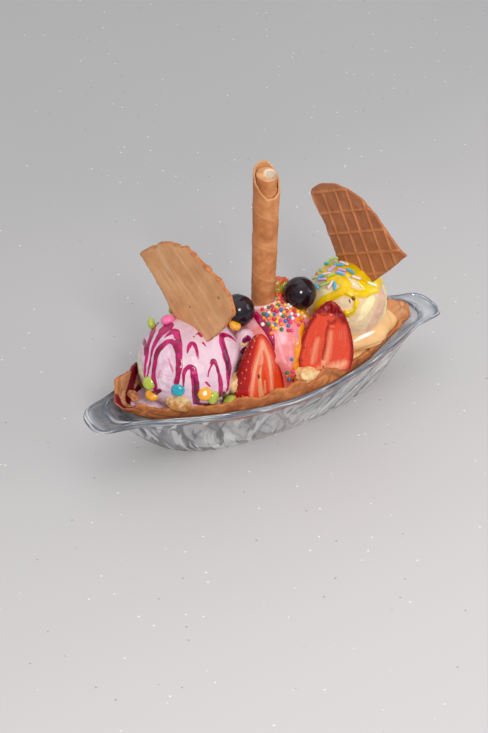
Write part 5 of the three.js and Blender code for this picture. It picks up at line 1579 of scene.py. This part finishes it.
def seedMaterial():
    material, tree, shader = newMaterial("strawberrySeed", Roughness=0.35, Coat_Weight=0.2)
    tint = addNode(tree, "ShaderNodeVertexColor", layer_name="tint").outputs["Color"]
    grain = product(tree, noise(tree, pointOf(tree), 1500.0), 0.5)
    feed(tree, shader, Base_Color=mixed(tree, grain, tint, linear(90, 50, 24)))
    return material


# Small fruit lumps: a strawberry piece behind the roll and banana chunks

lumps = {
    "strawberry_piece": {"centre": (15.6, 12.5, 72), "radii": (7, 6.5, 8), "lean": 0, "seed": 91,
                         "slot": "strawberry"},
    "banana_piece_left": {"centre": (-68.3, -18.6, 45.1), "radii": (7.5, 6, 6.5), "lean": 20, "seed": 92,
                          "slot": "banana"},
    "banana_piece_middle": {"centre": (-33.5, -22, 43), "radii": (6, 5.5, 7), "lean": -15, "seed": 93,
                            "slot": "banana"},
    "banana_piece_right": {"centre": (10, -30.5, 38.5), "radii": (8.5, 6, 5.5), "lean": 10, "seed": 94,
                           "slot": "banana"},
}


def buildLump(name, material, boxy):
    lump = lumps[name]
    directions, faces = ballMesh(5)
    squared = directions / (np.abs(directions) ** boxy).sum(axis=1, keepdims=True) ** (1 / boxy)
    points = squared * np.array(lump["radii"]) / 1000
    seed = lump["seed"]
    uneven = 1 + 0.13 * lumpy(directions, 0.6, seed) + 0.09 * lumpy(directions, 0.22, seed + 20)
    points = points * uneven[:, None]
    lean = np.radians(lump["lean"])
    spin = np.array([[np.cos(lean), 0, -np.sin(lean)], [0, 1, 0], [np.sin(lean), 0, np.cos(lean)]])
    points = points @ spin + np.array(lump["centre"]) / 1000
    makePiece(name + "_flesh", points, faces, material, nodes=[name], slot=lump["slot"],
              masks={"low": stepped(-directions[:, 2], -0.5, 0.2)})


def bananaMaterial():
    material, tree, shader = newMaterial("bananaFlesh", Subsurface_Weight=0.3, Coat_Weight=0.15,
                                         Subsurface_Radius=(0.004, 0.003, 0.0015))
    spot = pointOf(tree)
    mottled = noise(tree, spot, 330.0, detail=4.0)
    colour = mixed(tree, between(tree, mottled, 0.4, 0.62), linear(232, 204, 156), linear(214, 170, 104))
    amber = product(tree, painted(tree, "low"), between(tree, mottled, 0.42, 0.6, 0.3, 1.0))
    colour = mixed(tree, amber, colour, linear(196, 116, 30))
    feed(tree, shader, Base_Color=colour, Roughness=between(tree, mottled, 0.3, 0.7, 0.25, 0.5))
    bumped(tree, shader, mottled, 0.0009, 0.6)
    return material


def berryLumpMaterial():
    material, tree, shader = newMaterial("strawberryLump", Subsurface_Weight=0.15, Coat_Weight=0.4,
                                         Roughness=0.25, Subsurface_Radius=(0.004, 0.0015, 0.001))
    spot = pointOf(tree)
    cells = cellAway(tree, spot, 380.0)
    colour = mixed(tree, between(tree, cells, 0.1, 0.6), linear(176, 44, 24), linear(220, 86, 40))
    green = between(tree, noise(tree, spot, 170.0), 0.52, 0.58)
    colour = mixed(tree, green, colour, linear(150, 146, 36))
    feed(tree, shader, Base_Color=colour)
    bumped(tree, shader, cells, 0.0008, 0.8)
    return material


# The pale table

# The near tone is painted light, for the paler table near the camera
tableTones = {"pale": (179, 177, 177), "cloud": (173, 172, 173), "near": (200, 196, 196)}
tableSpecks = [{"scale": 70.0, "reach": (0.035, 0.055), "share": 0.6, "tone": (120, 118, 119)},
               {"scale": 90.0, "reach": (0.04, 0.07), "share": 0.8, "tone": (236, 234, 232)}]


def floorMaterial():
    material, tree, shader = newMaterial("paleTable", Specular_IOR_Level=0.3)
    spot = pointOf(tree)
    cloud = noise(tree, spot, 2.2, detail=2.0)
    colour = mixed(tree, between(tree, cloud, 0.35, 0.65), linear(*tableTones["pale"]),
                   linear(*tableTones["cloud"]))
    # Painted light: the table turns paler towards the camera, where more light falls
    y = addNode(tree, "ShaderNodeSeparateXYZ", {"Vector": spot}).outputs["Y"]
    colour = mixed(tree, between(tree, y, 0.25, -0.2), colour, linear(*tableTones["near"]))
    for speck in tableSpecks:
        amount = between(tree, cellAway(tree, spot, speck["scale"]), *speck["reach"], speck["share"], 0.0)
        colour = mixed(tree, amount, colour, linear(*speck["tone"]))
    feed(tree, shader, Base_Color=colour, Roughness=between(tree, cloud, 0.3, 0.7, 0.42, 0.55))
    return material


def addFloor():
    half, count = 2.5, 40
    line = np.linspace(-half, half, count)
    x, y = np.meshgrid(line, line)
    points = np.column_stack([x.ravel(), y.ravel(), np.zeros(count * count)])
    mesh = bpy.data.meshes.new("table_top")
    mesh.from_pydata(points.tolist(), [], gridFaces(count, count, around=False).tolist())
    mesh.materials.append(floorMaterial())
    table = bpy.data.objects.new("table_top", mesh)
    scene.collection.objects.link(table)


# Soft studio surroundings: a bright ceiling, paler walls and a dim band near the table
studio = {"strength": 0.81, "shades": [(0.0, (0.42, 0.43, 0.45)), (0.25, (0.52, 0.53, 0.55)),
                                       (0.6, (0.78, 0.79, 0.81)), (1.0, (0.95, 0.95, 0.95))]}


def addWorld():
    world = bpy.data.worlds.new("studio")
    scene.world = world
    world.use_nodes = True
    tree = world.node_tree
    around = addNode(tree, "ShaderNodeTexCoord").outputs["Generated"]
    upwards = addNode(tree, "ShaderNodeSeparateXYZ", {"Vector": around}).outputs["Z"]
    shade = ramp(tree, between(tree, upwards, -0.1, 1.0), studio["shades"])
    tree.links.new(shade, tree.nodes["Background"].inputs["Color"])
    tree.nodes["Background"].inputs["Strength"].default_value = studio["strength"]


scene.view_settings.view_transform = "Standard"
scene.view_settings.look = "None"
addCamera()
for name, lamp in lamps.items():
    addLamp(name, **lamp)
addWorld()
addFloor()
print("camera, lights and table ready")

buildDish(glassMaterial())
print("dish ready")

waferShell = shellMaterial()
buildShell(waferShell)
buildScrap(waferShell)
buildMelt(meltMaterial())
print("wafer shell and melted cream ready")

buildScoop("berry", iceCreamMaterial("berryIceCream", scoops["berry"]))
collar = {"centre": (0.0018, 0.0085), "radius": 0.0092, "ring": 0.0078, "width": 0.0014, "rise": 0.0009}
pinkCoats = {**scoops["pink"]["coats"], "collar": {"soft": 1.0, "tones": ((240, 220, 214), (236, 200, 200)),
    "gloss": 0.4}}
buildScoop("pink", iceCreamMaterial("pinkIceCream", scoops["pink"], pinkCoats), collar)
buildScoop("cream", iceCreamMaterial("paleIceCream", scoops["cream"]))
buildCreamFoot(iceCreamMaterial("meltedFoot", footScoop))
buildSwirl(iceCreamMaterial("marbledCream", scoops["berry"] | {"icyCoat": None}, swirlCoats))
sugar = sugarMaterial()
buildBeads(sugar)
buildRods(sugar)
print("scoops ready")

buildRoll()
buildWafer("plain", plainWaferMaterial())
buildWafer("waffle", waffleMaterial())
print("wafers ready")

grapeSkin = grapeMaterial()
for name in grapes:
    buildGrape(name, grapeSkin)
sweetMaterials = {tint: sweetMaterial(tint) for tint in sweetTints}
for index, (centre, facing, tint, size) in enumerate(sweets):
    buildSweet(index + 1, centre, facing, tint, size, sweetMaterials[tint])
seedCoat = seedMaterial()
for name, half in berryHalves.items():
    buildStrawberry(name, strawberryMaterial(name + "_cut", half), seedCoat)
buildLump("strawberry_piece", berryLumpMaterial(), 2.2)
bananaFlesh = bananaMaterial()
for name in ("banana_piece_left", "banana_piece_middle", "banana_piece_right"):
    buildLump(name, bananaFlesh, 3.0)
print("fruit and sweets ready")

pieces = [o for o in scene.objects if o.type == "MESH" and not o.hide_render]
print("triangles", sum(len(face.vertices) - 2 for piece in pieces for face in piece.data.polygons))
